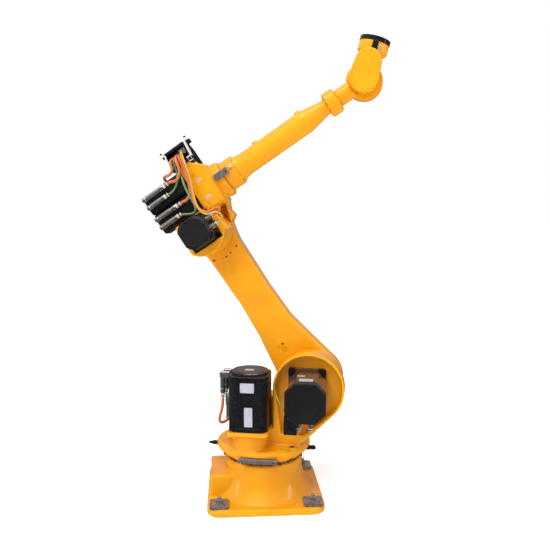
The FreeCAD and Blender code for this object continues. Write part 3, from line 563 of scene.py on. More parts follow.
class Shape:
    """A mesh under construction, in the millimetres of a link's frame."""

    def __init__(self) -> None:
        """Start with nothing."""
        self.points: list[Vector] = []
        self.faces: list[tuple[int, ...]] = []

    def loft(self, rings: list[list[Vector]], is_loop: bool = False) -> "Shape":
        """Skin a row of rings that have as many points each, and close its ends.

        Args:
            rings: The rings in order.
            is_loop: Whether the last ring joins the first instead of being closed by a face.

        Returns:
            This shape.
        """
        start = len(self.points)
        size = len(rings[0])
        for ring in rings:
            self.points.extend(ring)
        runs = len(rings) if is_loop else len(rings) - 1
        for run in range(runs):
            near = start + run * size
            far = start + (run + 1) % len(rings) * size
            for step in range(size):
                after = (step + 1) % size
                self.faces.append((near + step, near + after, far + after, far + step))
        if not is_loop:
            self.faces.append(tuple(start + step for step in reversed(range(size))))
            self.faces.append(tuple(start + (len(rings) - 1) * size + step for step in range(size)))
        return self

    def lathe(self, along: Along, profile: list[Point], centre: Point = (0.0, 0.0), count: int = 40,
              ease: float = 0.0, **ring: float) -> "Shape":
        """Turn a profile about an axis.

        Args:
            along: The axis.
            profile: Its (level, radius) points, from one end to the other.
            centre: Where the axis passes, on the other two axes.
            count: How many points go round.
            ease: Radius that rounds the profile's corners.
            ring: What circle() takes for a ring that isn't plain.

        Returns:
            This shape.
        """
        if ease:
            profile = rounded(profile, ease, 3, is_open=True)
        rings = [[along.point(level, spot) for spot in circle(max(radius, 0.01), centre, count, **ring)]
                 for level, radius in profile]
        return self.loft(rings)

    def tube(self, along: Along, profile: list[Point], centre: Point = (0.0, 0.0), count: int = 40,
             ease: float = 0.0) -> "Shape":
        """Turn a closed profile, which leaves a hole along the axis.

        Args:
            along: The axis.
            profile: Its (level, radius) points, all the way round.
            centre: Where the axis passes.
            count: How many points go round.
            ease: Radius that rounds the profile's corners.

        Returns:
            This shape.
        """
        if ease:
            profile = rounded(profile, ease, 3)
        rings = [[along.point(level, spot) for spot in circle(radius, centre, count)]
                 for level, radius in profile]
        return self.loft(rings, is_loop=True)

    def plate(self, along: Along, span: Point, outline: list[Point], edge: float = 1.0,
              steps: int = 3) -> "Shape":
        """Stand an outline up between two levels, with rounded rims.

        Args:
            along: The axis that it stands along.
            span: Its two levels.
            outline: A counter-clockwise outline.
            edge: Radius of its rims.
            steps: How many runs make one rim.

        Returns:
            This shape.
        """
        edge = min(edge, 0.49 * abs(span[1] - span[0]))
        rings = []
        for end, sign in ((span[0], 1), (span[1], -1)):
            turns = range(steps + 1) if sign > 0 else reversed(range(steps + 1))
            for step in turns:
                angle = math.pi / 2 * step / steps
                drawn = inset(outline, edge * (1 - math.sin(angle)))
                rings.append([along.point(end + sign * edge * (1 - math.cos(angle)), spot) for spot in drawn])
        return self.loft(rings)

    def block(self, low: Triple, high: Triple, edge: float = 0.8, corner: float = 0.0) -> "Shape":
        """Build a box with soft edges.

        Args:
            low: Its lowest corner.
            high: Its highest corner.
            edge: Radius of the rims of its two ends along Z.
            corner: Radius of its upright edges.

        Returns:
            This shape.
        """
        outline = rounded(rectangle(low[:2], high[:2]), corner or edge, 4)
        return self.plate(Along.Z, (low[2], high[2]), outline, edge)

    def socket_screw(self, along: Along, level: float, spot: Point, radius: float, height: float,
                     count: int = 24) -> "Shape":
        """Build the head of a socket screw; a negative height looks down the axis.

        Args:
            along: The screw's axis.
            level: Where its head sits.
            spot: Where its axis passes.
            radius: Radius of its head.
            height: Height of its head, signed.
            count: How many points go round.

        Returns:
            This shape.
        """
        side = math.copysign(1, height)
        size = abs(height)
        rim = min(0.18 * radius, 0.3 * size)
        rows = [(0.0, radius, 0), (size - rim, radius, 0), (size - 0.3 * rim, radius - 0.3 * rim, 0),
                (size, radius - rim, 0), (size, 0.62 * radius, 0), (size - 0.1 * radius, 0.55 * radius, 6),
                (size * 0.35, 0.55 * radius, 6)]
        rings = [[along.point(level + side * rise, p) for p in circle(around, spot, count, sides)]
                 for rise, around, sides in rows]
        return self.loft(rings)

    def hex_bolt(self, along: Along, level: float, spot: Point, radius: float, height: float) -> "Shape":
        """Build the head of a hexagon bolt on its washer.

        Args:
            along: The bolt's axis.
            level: Where its washer sits.
            spot: Where its axis passes.
            radius: Radius to the head's corners.
            height: Height of head and washer, signed.

        Returns:
            This shape.
        """
        side = math.copysign(1, height)
        size = abs(height)
        washer = 0.22 * size
        rows = [(0.0, 1.25 * radius, 0), (0.7 * washer, 1.25 * radius, 0), (washer, 1.2 * radius, 0),
                (washer, 1.0 * radius, 6), (0.9 * size, 1.0 * radius, 6), (size, 0.86 * radius, 0),
                (size, 0.5 * radius, 0)]
        rings = [[along.point(level + side * rise, p) for p in circle(around, spot, 24, sides)]
                 for rise, around, sides in rows]
        return self.loft(rings)

    def mesh(self, name: str, place: LinkFrame) -> bpy.types.Mesh:
        """Write the mesh, in metres in the row frame.

        Args:
            name: Its name.
            place: The link's frame.

        Returns:
            A mesh with outward faces.
        """
        mesh = bpy.data.meshes.new(name)
        mesh.from_pydata([place.matrix @ point for point in self.points], [], self.faces)
        work = bmesh.new()
        work.from_mesh(mesh)
        bmesh.ops.remove_doubles(work, verts=work.verts, dist=SAME_POINT)
        bmesh.ops.dissolve_degenerate(work, edges=work.edges, dist=SAME_POINT)
        bmesh.ops.recalc_face_normals(work, faces=work.faces)
        work.to_mesh(mesh)
        work.free()
        return mesh


# ---------------------------------------------------------------- pieces

@dataclass
class Assembly:
    """A group of pieces that ride on one body."""

    place: LinkFrame
    body: str
    made: list[str] = field(default_factory=list)

    def show(self, mesh: bpy.types.Mesh, finish: Finish, nodes: tuple[str, ...] = (),
             sharp: float = 38.0) -> bpy.types.Object:
        """Stand a finished mesh in the scene on this group's body.

        Args:
            mesh: The mesh, whose name becomes the piece's.
            finish: Its finish.
            nodes: CAD nodes that it stands for.
            sharp: Angle in degrees above which an edge stays sharp.

        Returns:
            The piece.
        """
        for polygon in mesh.polygons:
            polygon.use_smooth = True
        if sharp:
            mesh.set_sharp_from_angle(angle=math.radians(sharp))
        mesh.materials.clear()
        mesh.materials.append(finish.material())
        piece = bpy.data.objects.new(mesh.name, mesh)
        bpy.context.scene.collection.objects.link(piece)
        if sharp:
            piece.modifiers.new("even_normals", "WEIGHTED_NORMAL").keep_sharp = True
        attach(piece, self.body)
        if nodes:
            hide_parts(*nodes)
        self.made.append(piece.name)
        return piece

    def add(self, name: str, shape: Shape, finish: Finish, *nodes: str) -> bpy.types.Object:
        """Add a piece from a shape.

        Args:
            name: The piece's name.
            shape: Its shape.
            finish: Its finish.
            nodes: CAD nodes that it stands for.

        Returns:
            The piece.
        """
        return self.show(shape.mesh(name, self.place), finish, nodes)

    def cast(self, name: str, node: str, finish: Finish, voxel: float = 2.5, passes: int = 9,
             grown: Shape | None = None, sunk: Shape | None = None) -> bpy.types.Object:
        """Turn a CAD node into a casting: bosses grown on, hollows sunk in, and every edge softened.

        Args:
            name: The piece's name.
            node: The CAD node that it stands for.
            finish: Its finish.
            voxel: Mesh size in millimetres.
            passes: How often the edges are smoothed.
            grown: Bosses and ribs to grow onto it.
            sunk: Hollows to take out of it.

        Returns:
            The piece.
        """
        mesh = frame["nodes"][node].data.copy()
        mesh.name = name
        work = bmesh.new()
        work.from_mesh(mesh)
        if grown:
            work.from_mesh(grown.mesh(name + "_grown", self.place))
        bmesh.ops.remove_doubles(work, verts=work.verts, dist=SAME_CORNER)
        work.to_mesh(mesh)
        work.free()
        if sunk:
            mesh = carved(mesh, sunk.mesh(name + "_sunk", self.place))
            mesh.name = name
        skin = softened(mesh, voxel * MM, passes)
        skin.name = name
        return self.show(skin, finish, (node,), sharp=0.0)

    def dress(self, node: str, finish: Finish, edge: float = 0.0) -> None:
        """Give a CAD node that stays its finish and softer edges.

        Args:
            node: The node.
            finish: Its finish.
            edge: Width of its bevelled edges in millimetres.
        """
        thing = frame["nodes"][node]
        thing.data.materials.clear()
        thing.data.materials.append(finish.material())
        for polygon in thing.data.polygons:
            polygon.use_smooth = True
        weld = thing.modifiers.new("weld", "WELD")
        weld.merge_threshold = SAME_CORNER
        if edge:
            bevel = thing.modifiers.new("soft_edges", "BEVEL")
            bevel.width = edge * MM
            bevel.segments = 3
            bevel.limit_method = "ANGLE"
            bevel.angle_limit = math.radians(35)
        thing.modifiers.new("even_normals", "WEIGHTED_NORMAL")
        self.made.append(node)

    def lead(self, name: str, route: list[Triple], radius: float, finish: Finish,
             *nodes: str) -> bpy.types.Object:
        """Lay a lead along its route.

        Args:
            name: The piece's name.
            route: Control points of its line.
            radius: Its radius in millimetres.
            finish: Its jacket.
            nodes: CAD nodes that it stands for.

        Returns:
            The piece, which is a curve.
        """
        curve = bpy.data.curves.new(name, "CURVE")
        curve.dimensions = "3D"
        spline = curve.splines.new("NURBS")
        spline.points.add(len(route) - 1)
        for point, spot in zip(spline.points, route):
            point.co = (*(self.place.matrix @ Vector(spot)), 1.0)
        spline.order_u = 3
        spline.use_endpoint_u = True
        spline.resolution_u = 10
        curve.bevel_depth = radius * MM
        curve.bevel_resolution = 4
        curve.use_fill_caps = True
        curve.materials.append(finish.material())
        piece = bpy.data.objects.new(name, curve)
        bpy.context.scene.collection.objects.link(piece)
        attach(piece, self.body)
        if nodes:
            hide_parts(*nodes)
        self.made.append(name)
        return piece

    def report(self) -> None:
        """Log each piece that was made."""
        for name in self.made:
            LOG.info("%s rides on %s", name, self.body)


def carved(mesh: bpy.types.Mesh, tool: bpy.types.Mesh) -> bpy.types.Mesh:
    """Take one closed mesh out of another.

    Args:
        mesh: What is kept.
        tool: What is taken away.

    Returns:
        The difference.
    """
    base = bpy.data.objects.new("base", mesh)
    cutter = bpy.data.objects.new("cutter", tool)
    for thing in (base, cutter):
        bpy.context.scene.collection.objects.link(thing)
    cut = base.modifiers.new("cut", "BOOLEAN")
    cut.object = cutter
    cut.operation = "DIFFERENCE"
    cut.solver = "EXACT"
    cut.use_self = True
    return baked(base, cutter)


def baked(thing: bpy.types.Object, *others: bpy.types.Object) -> bpy.types.Mesh:
    """Give an object's mesh with its modifiers applied, and take the object away.

    Args:
        thing: The object.
        others: Helpers that go with it.

    Returns:
        The finished mesh.
    """
    deps = bpy.context.evaluated_depsgraph_get()
    result = bpy.data.meshes.new_from_object(thing.evaluated_get(deps))
    for used in (thing, *others):
        data = used.data
        bpy.data.objects.remove(used)
        bpy.data.meshes.remove(data)
    return result


def softened(mesh: bpy.types.Mesh, voxel: float, passes: int) -> bpy.types.Mesh:
    """Remesh a body evenly and round its edges, while its flat and curved faces stay where they were.

    Args:
        mesh: The body, which is used up.
        voxel: Mesh size in metres.
        passes: How often the edges are smoothed.

    Returns:
        The softened mesh.
    """
    reference = bmesh.new()
    reference.from_mesh(mesh)
    bmesh.ops.triangulate(reference, faces=reference.faces)
    tree = BVHTree.FromBMesh(reference)
    reference.free()
    body = bpy.data.objects.new("body", mesh)
    bpy.context.scene.collection.objects.link(body)
    remesh = body.modifiers.new("remesh", "REMESH")
    remesh.mode = "VOXEL"
    remesh.voxel_size = voxel
    remesh.use_smooth_shade = True
    smooth = body.modifiers.new("smooth", "SMOOTH")
    smooth.factor = 0.5
    smooth.iterations = passes
    skin = baked(body)
    near, far = 0.12 * voxel, 0.32 * voxel
    places = np.empty(len(skin.vertices) * 3, np.float64)
    skin.vertices.foreach_get("co", places)
    places = places.reshape(-1, 3)
    for index, spot in enumerate(places):
        found, _, _, gap = tree.find_nearest(spot, far)
        if found is None:
            continue
        share = 1.0 if gap <= near else (far - gap) / (far - near)
        places[index] = spot + (np.array(found) - spot) * share
    skin.vertices.foreach_set("co", places.ravel())
    skin.update()
    return skin


# ---------------------------------------------------------------- studio

@dataclass
class Studio:
    """A pale floor, plain soft light and the camera."""

    stand: Triple = (-0.1079, -2.046, 0.928)
    tilt: float = 84.27
    turn: float = -4.06
    lens: float = 41.85
    floor_half: float = 40.0
    pale: Triple = (0.86, 0.86, 0.86)
    even: float = 0.28
    sun: float = 1.12

    def build(self) -> None:
        """Set up everything round the arm."""
        self.floor()
        self.camera()
        self.sky()
        self.daylight()
        self.lamp("front", (-1.5, -2.4, 2.4), (0.0, 0.0, 0.75), (1.6, 1.2), 29.0, False)
        self.lamp("strip", (0.1, -0.7, 2.9), (0.05, 0.0, 0.7), (2.6, 0.25), 26.0, True)
        self.lamp("right", (2.4, -0.9, 1.5), (0.0, 0.0, 0.8), (0.4, 1.8), 9.0, True)
        self.lamp("left", (-2.6, -0.6, 1.0), (0.0, 0.0, 0.7), (0.4, 1.8), 9.0, True)

    def floor(self) -> None:
        """Lay the floor, which isn't part of the arm."""
        half = self.floor_half
        mesh = bpy.data.meshes.new("floor")
        mesh.from_pydata([(-half, -half, 0), (half, -half, 0), (half, half, 0), (-half, half, 0)], [],
                         [(0, 1, 2, 3)])
        finish = Finish("floor_pale", self.pale, tuple(0.985 * c for c in self.pale), roughness=0.9,
                        drift_scale=1.5, grain_depth=0.0, specular=0.0, glow=0.56)
        mesh.materials.append(finish.material())
        floor = bpy.data.objects.new("floor", mesh)
        bpy.context.scene.collection.objects.link(floor)
        floor.visible_glossy = False

    def camera(self) -> None:
        """Stand the camera in front of the arm."""
        data = bpy.data.cameras.new("camera")
        data.lens = self.lens
        data.sensor_width = 36.0
        camera = bpy.data.objects.new("camera", data)
        camera.location = self.stand
        camera.rotation_euler = (math.radians(self.tilt), 0.0, math.radians(self.turn))
        bpy.context.scene.collection.objects.link(camera)
        bpy.context.scene.camera = camera

    def sky(self) -> None:
        """Light everything evenly from a pale surround whose gloss falls off towards the horizon."""
        world = bpy.data.worlds.new("surround")
        world.use_nodes = True
        tree = world.node_tree
        rays = tree.nodes.new("ShaderNodeLightPath")
        split = tree.nodes.new("ShaderNodeSeparateXYZ")
        tree.links.new(tree.nodes.new("ShaderNodeTexCoord").outputs["Generated"], split.inputs["Vector"])
        gloss = tree.nodes.new("ShaderNodeMapRange")
        gloss.inputs["From Min"].default_value = -0.05
        gloss.inputs["To Min"].default_value = 0.12
        gloss.inputs["To Max"].default_value = 1.25
        tree.links.new(split.outputs["Z"], gloss.inputs["Value"])
        inner = self.chosen(tree, rays.outputs["Is Glossy Ray"], self.even, gloss.outputs["Result"])
        outer = self.chosen(tree, rays.outputs["Is Camera Ray"], inner, 1.0)
        tree.links.new(outer, tree.nodes["Background"].inputs["Strength"])
        tree.nodes["Background"].inputs["Color"].default_value = (1.0, 1.0, 1.0, 1.0)
        bpy.context.scene.world = world
        bpy.context.scene.view_settings.view_transform = "Standard"

    @staticmethod
    def chosen(tree: bpy.types.NodeTree, share: bpy.types.NodeSocket, first: float | bpy.types.NodeSocket,
               second: float | bpy.types.NodeSocket) -> bpy.types.NodeSocket:
        """Pass on one of two values by the kind of ray.

        Args:
            tree: The surround's nodes.
            share: 0 for the first value and 1 for the second.
            first: A value, or the socket of one.
            second: A value, or the socket of one.

        Returns:
            The socket that holds the result.
        """
        node = tree.nodes.new("ShaderNodeMix")
        tree.links.new(share, node.inputs["Factor"])
        for name, value in (("A", first), ("B", second)):
            if isinstance(value, bpy.types.NodeSocket):
                tree.links.new(value, node.inputs[name])
            else:
                node.inputs[name].default_value = value
        return node.outputs["Result"]

    def daylight(self) -> None:
        """Let broad, soft light fall from above, the same over the whole floor."""
        data = bpy.data.lights.new("daylight", "SUN")
        data.energy = self.sun
        data.angle = math.radians(40.0)
        lamp = bpy.data.objects.new("daylight", data)
        lamp.rotation_euler = Vector((0.30, 0.55, -1.0)).to_track_quat("-Z", "Y").to_euler()
        lamp.visible_glossy = False
        bpy.context.scene.collection.objects.link(lamp)

    @staticmethod
    def lamp(name: str, spot: Triple, aim: Triple, size: Point, power: float, is_glossy: bool) -> None:
        """Hang a soft oblong lamp.

        Args:
            name: Its name.
            spot: Where it hangs.
            aim: What it points at.
            size: Its two sides in metres.
            power: Its power in watts.
            is_glossy: Whether it shows in reflections.
        """
        data = bpy.data.lights.new(name, "AREA")
        data.shape = "RECTANGLE"
        data.size, data.size_y = size
        data.energy = power
        lamp = bpy.data.objects.new(name, data)
        lamp.location = spot
        lamp.rotation_euler = (Vector(aim) - Vector(spot)).to_track_quat("-Z", "Y").to_euler()
        lamp.visible_glossy = is_glossy
        bpy.context.scene.collection.objects.link(lamp)


# ---------------------------------------------------------------- base

@dataclass
class Base(Assembly):
    """The foot: flared turret, corner plates with their holding-down bolts, and the supply sockets."""

    bolt_spot: float = 145.0
    bolt_radius: float = 11.0
    bolt_height: float = 12.0
    pin_radius: float = 4.0
    ring_bolts: int = 24

    def build(self) -> None:
        """Build the foot."""
        self.cast("base_casting", "base_frame", Finishes.orange, 3.2, 14, grown=self.ribs())
        for number in range(1, 5):
            self.dress("foot_plate_%d" % number, Finishes.bare, 1.2)
        self.dress("slew_ring", Finishes.bare, 0.8)
        self.bolts()
        self.sockets()
        self.ring()

    def ribs(self) -> Shape:
        """Build the small bosses that are cast on the turret.

        Returns:
            The bosses.
        """
        shape = Shape()
        shape.lathe(Along.Z, [(20, 16), (23.5, 16)], (0.0, -150.0), 24)
        shape.lathe(Along.Z, [(20, 16), (23.5, 16)], (0.0, 150.0), 24)
        return shape

    def bolts(self) -> None:
        """Put a bolt, its nut and two set pins on each corner plate."""
        high = self.place.box("foot_plate_1")[1]
        shape = Shape()
        top = high.z
        for side_x in (-1, 1):
            for side_y in (-1, 1):
                spot = (side_x * self.bolt_spot, side_y * self.bolt_spot)
                shape.hex_bolt(Along.Z, top, spot, self.bolt_radius, self.bolt_height)
                stud = [(top + self.bolt_height - 1, 6.0), (top + self.bolt_height + 7, 6.0),
                        (top + self.bolt_height + 8.5, 4.6)]
                shape.lathe(Along.Z, stud, spot, 20, 0.4)
                for turn in (-17.0, 17.0):
                    pin = (spot[0] + turn, spot[1] + side_y * 17.0)
                    shape.socket_screw(Along.Z, top, pin, self.pin_radius, 2.4, 18)
        self.add("holding_bolts", shape, Finishes.bare)

    def sockets(self) -> None:
        """Dress the supply panel: a rim, a cover and a nut ring round each socket."""
        self.dress("connector_panel", Finishes.bare, 0.8)
        low, high = self.place.box("connector_panel")
        level = (low.z + high.z) / 2
        shape = Shape()
        for step in (-42.0, 0.0, 42.0):
            shape.tube(Along.X, [(low.x + 6, 12.0), (low.x + 6, 14.5), (low.x + 11, 14.5),
                                 (low.x + 11, 12.0)], (step, level), 32, 0.6)
            shape.lathe(Along.X, [(low.x + 0.1, 9.5), (low.x + 1.4, 10.4), (low.x + 3.0, 10.4)],
                        (step, level), 32)
        for across in (low.y + 8, high.y - 8):
            for rise in (low.z + 8, high.z - 8):
                shape.socket_screw(Along.X, low.x + 12, (across, rise), 3.2, -2.6, 18)
        self.add("supply_sockets", shape, Finishes.plug)

    def ring(self) -> None:
        """Set the bolts of the slew ring round its outer edge."""
        low, high = self.place.box("slew_ring")
        shape = Shape()
        for step in range(self.ring_bolts):
            angle = 2 * math.pi * (step + 0.5) / self.ring_bolts
            spot = (118.0 * math.cos(angle), 118.0 * math.sin(angle))
            shape.lathe(Along.Z, [(low.z, 5.0), (high.z - 2.2, 5.0), (high.z - 1.4, 4.2)], spot, 16)
        self.add("slew_ring_bolts", shape, Finishes.rust_plug)


# ---------------------------------------------------------------- column

@dataclass
class Column(Assembly):
    """The turning column: rim, drum, stop bar, pegs and junction box."""

    stub_circle: float = 131.0
    stub_count: int = 16
    plug_spot: Point = (104.0, -88.0)

    def build(self) -> None:
        """Build the column."""
        self.cast("column_casting", "rotating_column", Finishes.orange, 3.0, 10, grown=self.bosses())
        self.stop()
        self.pegs()
        self.stubs()
        self.box()

    def bosses(self) -> Shape:
        """Build what is cast on the column.

        Returns:
            The bosses.
        """
        shape = Shape()
        shape.lathe(Along.Z, [(170, 12), (189.5, 12)], self.plug_spot, 28)
        return shape

    def stop(self) -> None:
        """Build the stop bar with its three countersunk screws."""
        low, high = self.place.box("stop_bar")
        shape = Shape()
        outline = rounded(rectangle((low.x, low.z), (high.x, high.z)), 1.0, 3)
        shape.plate(Along.Y, (low.y, high.y), outline, 0.8)
        middle = (low.z + high.z) / 2
        self.add("stop_bar_steel", shape, Finishes.bare, "stop_bar")
        rims, cores = Shape(), Shape()
        for share in (0.1, 0.5, 0.9):
            spot = (low.x + share * (high.x - low.x), middle)
            rims.tube(Along.Y, [(low.y - 0.5, 2.5), (low.y + 0.5, 2.5), (low.y + 0.5, 3.6),
                                (low.y - 0.5, 3.3)], spot, 24)
            # Painted shade: the dark cores stand for the shade inside the screw sockets.
            cores.lathe(Along.Y, [(low.y - 0.15, 2.6), (low.y + 1.0, 2.6)], spot, 20)
        self.add("stop_bar_rims", rims, Finishes.bare)
        self.add("stop_bar_bores", cores, Finishes.shadow)

    def pegs(self) -> None:
        """Build the two stop pegs with their rounded, stepped noses."""
        low, high = self.place.box("stop_pegs")
        level = (low.z + high.z) / 2
        shape = Shape()
        shape.lathe(Along.X, [(130.0, 8.0), (153.0, 8.0), (154.0, 6.2), (157.0, 6.2), (158.0, 7.6),
                              (168.0, 6.8), (high.x, 4.2)], (0.0, level), 28, 0.8)
        shape.lathe(Along.X, [(-130.0, 8.0), (-158.0, 8.0), (-159.0, 6.4), (-162.0, 6.4), (-163.0, 7.4),
                              (-171.0, 6.6), (-173.0, 4.6), (low.x + 2, 4.2), (low.x, 3.2)],
                    (0.0, level), 28, 0.8)
        self.add("stop_pegs_black", shape, Finishes.dark_steel, "stop_pegs")

    def stubs(self) -> None:
        """Hang the bolt stubs under the rim."""
        shape = Shape()
        for step in range(self.stub_count):
            angle = 2 * math.pi * (step + 0.25) / self.stub_count
            spot = (self.stub_circle * math.cos(angle), self.stub_circle * math.sin(angle))
            shape.lathe(Along.Z, [(143.2, 5.2), (144.2, 6.4), (158.0, 6.4)], spot, 20)
        self.add("rim_bolt_stubs", shape, Finishes.rust_plug)
        plug = Shape()
        plug.lathe(Along.Z, [(188.0, 8.4), (190.2, 8.4), (191.0, 7.4), (190.4, 3.0), (189.6, 1.0)],
                   self.plug_spot, 28, 0.3)
        self.add("rim_hole_plug", plug, Finishes.rust_plug)

    def box(self) -> None:
        """Build the junction box: a shell, a lid with its screws and two glands."""
        low, high = self.place.box("junction_box")
        shape = Shape()
        outline = rounded(rectangle((low.y, low.z), (high.y, high.z)), 6.0, 4)
        shape.plate(Along.X, (low.x + 4.4, high.x), outline, 1.0)
        shape.plate(Along.X, (low.x, low.x + 4.0), inset(outline, 0.6), 1.2)
        self.add("junction_box_shell", shape, Finishes.bare, "junction_box")
        screws = Shape()
        for across in (low.y + 7, high.y - 7):
            for rise in (low.z + 7, high.z - 7):
                screws.socket_screw(Along.X, low.x + 0.4, (across, rise), 3.0, -2.0, 18)
        self.add("junction_box_screws", screws, Finishes.steel)
        glands = Shape()
        for x, z, size in ((-105.0, 262.0, 7.4), (-111.0, 296.0, 5.8)):
            glands.lathe(Along.Y, [(low.y - 9, size * 0.74), (low.y - 6, size), (low.y - 3, size),
                                   (low.y - 3, size * 1.18), (low.y + 0.5, size * 1.18)], (x, z), 24, 0.5)
        self.add("junction_box_glands", glands, Finishes.dark_steel)


@dataclass
class ColumnLeads(Assembly):
    """The leads of axis 1 down to the junction box, and the earth lead of axis 2."""

    thick: float = 4.6
    thin: float = 3.2
    earth: float = 2.6

    def build(self) -> None:
        """Lay the leads."""
        self.lead("a1_power_jacket", [
            (-113, -104, 345), (-113, -104, 327), (-117, -102, 304), (-125, -97, 280), (-129, -86, 260),
            (-123, -68, 250), (-110, -50, 254), (-105, -36, 262), (-105, -20, 262),
        ], self.thick, Finishes.salmon, "a1_power_lead")
        self.lead("a1_encoder_jacket", [
            (-109, -71, 352), (-109, -71, 336), (-110, -67, 316), (-111, -54, 301), (-111, -36, 296),
            (-111, -20, 296),
        ], self.thin, Finishes.green, "a1_encoder_lead")
        self.lead("a2_earth_jacket", [
            (46, -70, 386), (46, -84, 386), (51, -104, 376), (61, -126, 360), (73, -142, 343),
            (84, -149, 329), (91, -150, 319), (91, -150, 306),
        ], self.earth, Finishes.earth, "a2_earth_lead")


@dataclass
class AxisOneMotor(Assembly):
    """The upright motor of axis 1: hooded casing, varnished lid, bare labels and hanging plugs."""

    corner: float = 30.0
    seam: float = 408.0

    def build(self) -> None:
        """Build the motor."""
        self.shelf()
        self.casing()
        self.lid()
        self.labels()
        self.screws()
        self.plugs()

    def shelf(self) -> None:
        """Build the painted plate that carries the motor."""
        low, high = self.place.box("a1_motor_plate")
        outline = rounded(rectangle((low.x, low.y), (high.x, high.y)), 12.0, 6)
        shape = Shape().plate(Along.Z, (low.z, high.z), outline, 2.5, 4)
        self.add("a1_motor_shelf", shape, Finishes.orange, "a1_motor_plate")

    def casing(self) -> None:
        """Build the casing: flange, body and hood, parted by fine seams."""
        low, high = self.place.box("a1_motor_body")
        outline = rounded(rectangle((low.x, low.y), (high.x, high.y)), self.corner, 10)
        shape = Shape()
        shape.plate(Along.Z, (low.z, low.z + 13.0), outline, 1.4)
        shape.plate(Along.Z, (low.z + 11.0, low.z + 15.0), inset(outline, 1.2), 0.4)
        shape.plate(Along.Z, (low.z + 13.8, self.seam), inset(outline, 0.3), 1.0)
        shape.plate(Along.Z, (self.seam - 2.0, self.seam + 3.0), inset(outline, 1.6), 0.4)
        shape.plate(Along.Z, (self.seam + 0.8, high.z), outline, 4.5, 5)
        self.add("a1_motor_casing", shape, Finishes.black, "a1_motor_body")

    def lid(self) -> None:
        """Build the varnished lid with its rings and bare plate."""
        low, high = self.place.box("a1_motor_top")
        centre = ((low.x + high.x) / 2, (low.y + high.y) / 2)
        radius = (high.x - low.x) / 2
        profile = [(low.z - 1, radius), (high.z - 4, radius), (high.z - 1, radius - 3), (high.z, radius - 5),
                   (high.z, radius - 9), (high.z - 1.2, radius - 10), (high.z - 1.2, radius - 12),
                   (high.z, radius - 13), (high.z, 4.0)]
        shape = Shape().lathe(Along.Z, profile, centre, 72, 0.5)
        self.add("a1_motor_lid", shape, Finishes.lid, "a1_motor_top")
        plate = Shape().block((-43.0, -104.0, high.z - 0.6), (-15.0, -86.0, high.z + 0.3), 0.25, 1.5)
        self.add("a1_motor_lid_plate", plate, Finishes.cream)

    def labels(self) -> None:
        """Rivet the bare plates onto the front."""
        low = self.place.box("a1_motor_body")[0]
        plates, rivets = Shape(), Shape()
        for left, right, foot, top in ((-49.0, -5.5, 374.5, 404.5), (-36.5, -11.0, 268.0, 328.5)):
            outline = rounded(rectangle((left, foot), (right, top)), 1.5, 3)
            plates.plate(Along.Y, (low.y - 0.5, low.y + 1.0), outline, 0.3)
            for x in (left + 2.2, right - 2.2):
                for z in (foot + 2.2, top - 2.2):
                    rivets.lathe(Along.Y, [(low.y + 0.5, 0.9), (low.y - 0.7, 0.9), (low.y - 1.0, 0.5)],
                                 (x, z), 12)
        self.add("a1_motor_labels", plates, Finishes.label)
        self.add("a1_motor_rivets", rivets, Finishes.steel)

    def screws(self) -> None:
        """Set the screws of the hood and of the flange."""
        low, high = self.place.box("a1_motor_body")
        hood, foot = Shape(), Shape()
        for x in (-57.0, 6.0):
            hood.socket_screw(Along.Y, low.y + 0.4, (x, 414.5), 2.6, -1.8, 20)
        for x in (low.x + 13, high.x - 13):
            for y in (low.y + 13, high.y - 13):
                foot.hex_bolt(Along.Z, low.z + 13.0, (x, y), 5.6, 6.5)
        for x in (-74.0, 20.0):
            foot.lathe(Along.Y, [(low.y + 2.6, 6.6), (low.y - 0.4, 6.6), (low.y - 1.0, 6.0)], (x, 268.0), 28)
            foot.socket_screw(Along.Y, low.y - 1.0, (x, 268.0), 3.8, -2.4, 20)
        self.add("a1_motor_hood_screws", hood, Finishes.dark_steel)
        self.add("a1_motor_foot_screws", foot, Finishes.dark_steel)

    def plugs(self) -> None:
        """Build the two hanging plugs, with their angled heads."""
        for name, node, head in (("a1_power_plug_metal", "a1_power_plug", 8.8),
                                 ("a1_encoder_plug_metal", "a1_encoder_plug", 7.6)):
            low, high = self.place.box(node)
            x, y = low.x + 8.2, (low.y + high.y) / 2
            shape, pale, tail = Shape(), Shape(), Shape()
            Plug(Along.Z, (x, y), high.z - 9.0, low.z, 8.2).fill(shape, pale, tail)
            shape.block((x - head, y - head, high.z - 20.0), (high.x + 0.4, y + head, high.z - 1.0), 2.6, 3.0)
            self.add(name, shape, Finishes.plug, node)
            self.add(name + "_bands", pale, Finishes.bead)
            self.add(name + "_ferrule", tail, Finishes.copper)


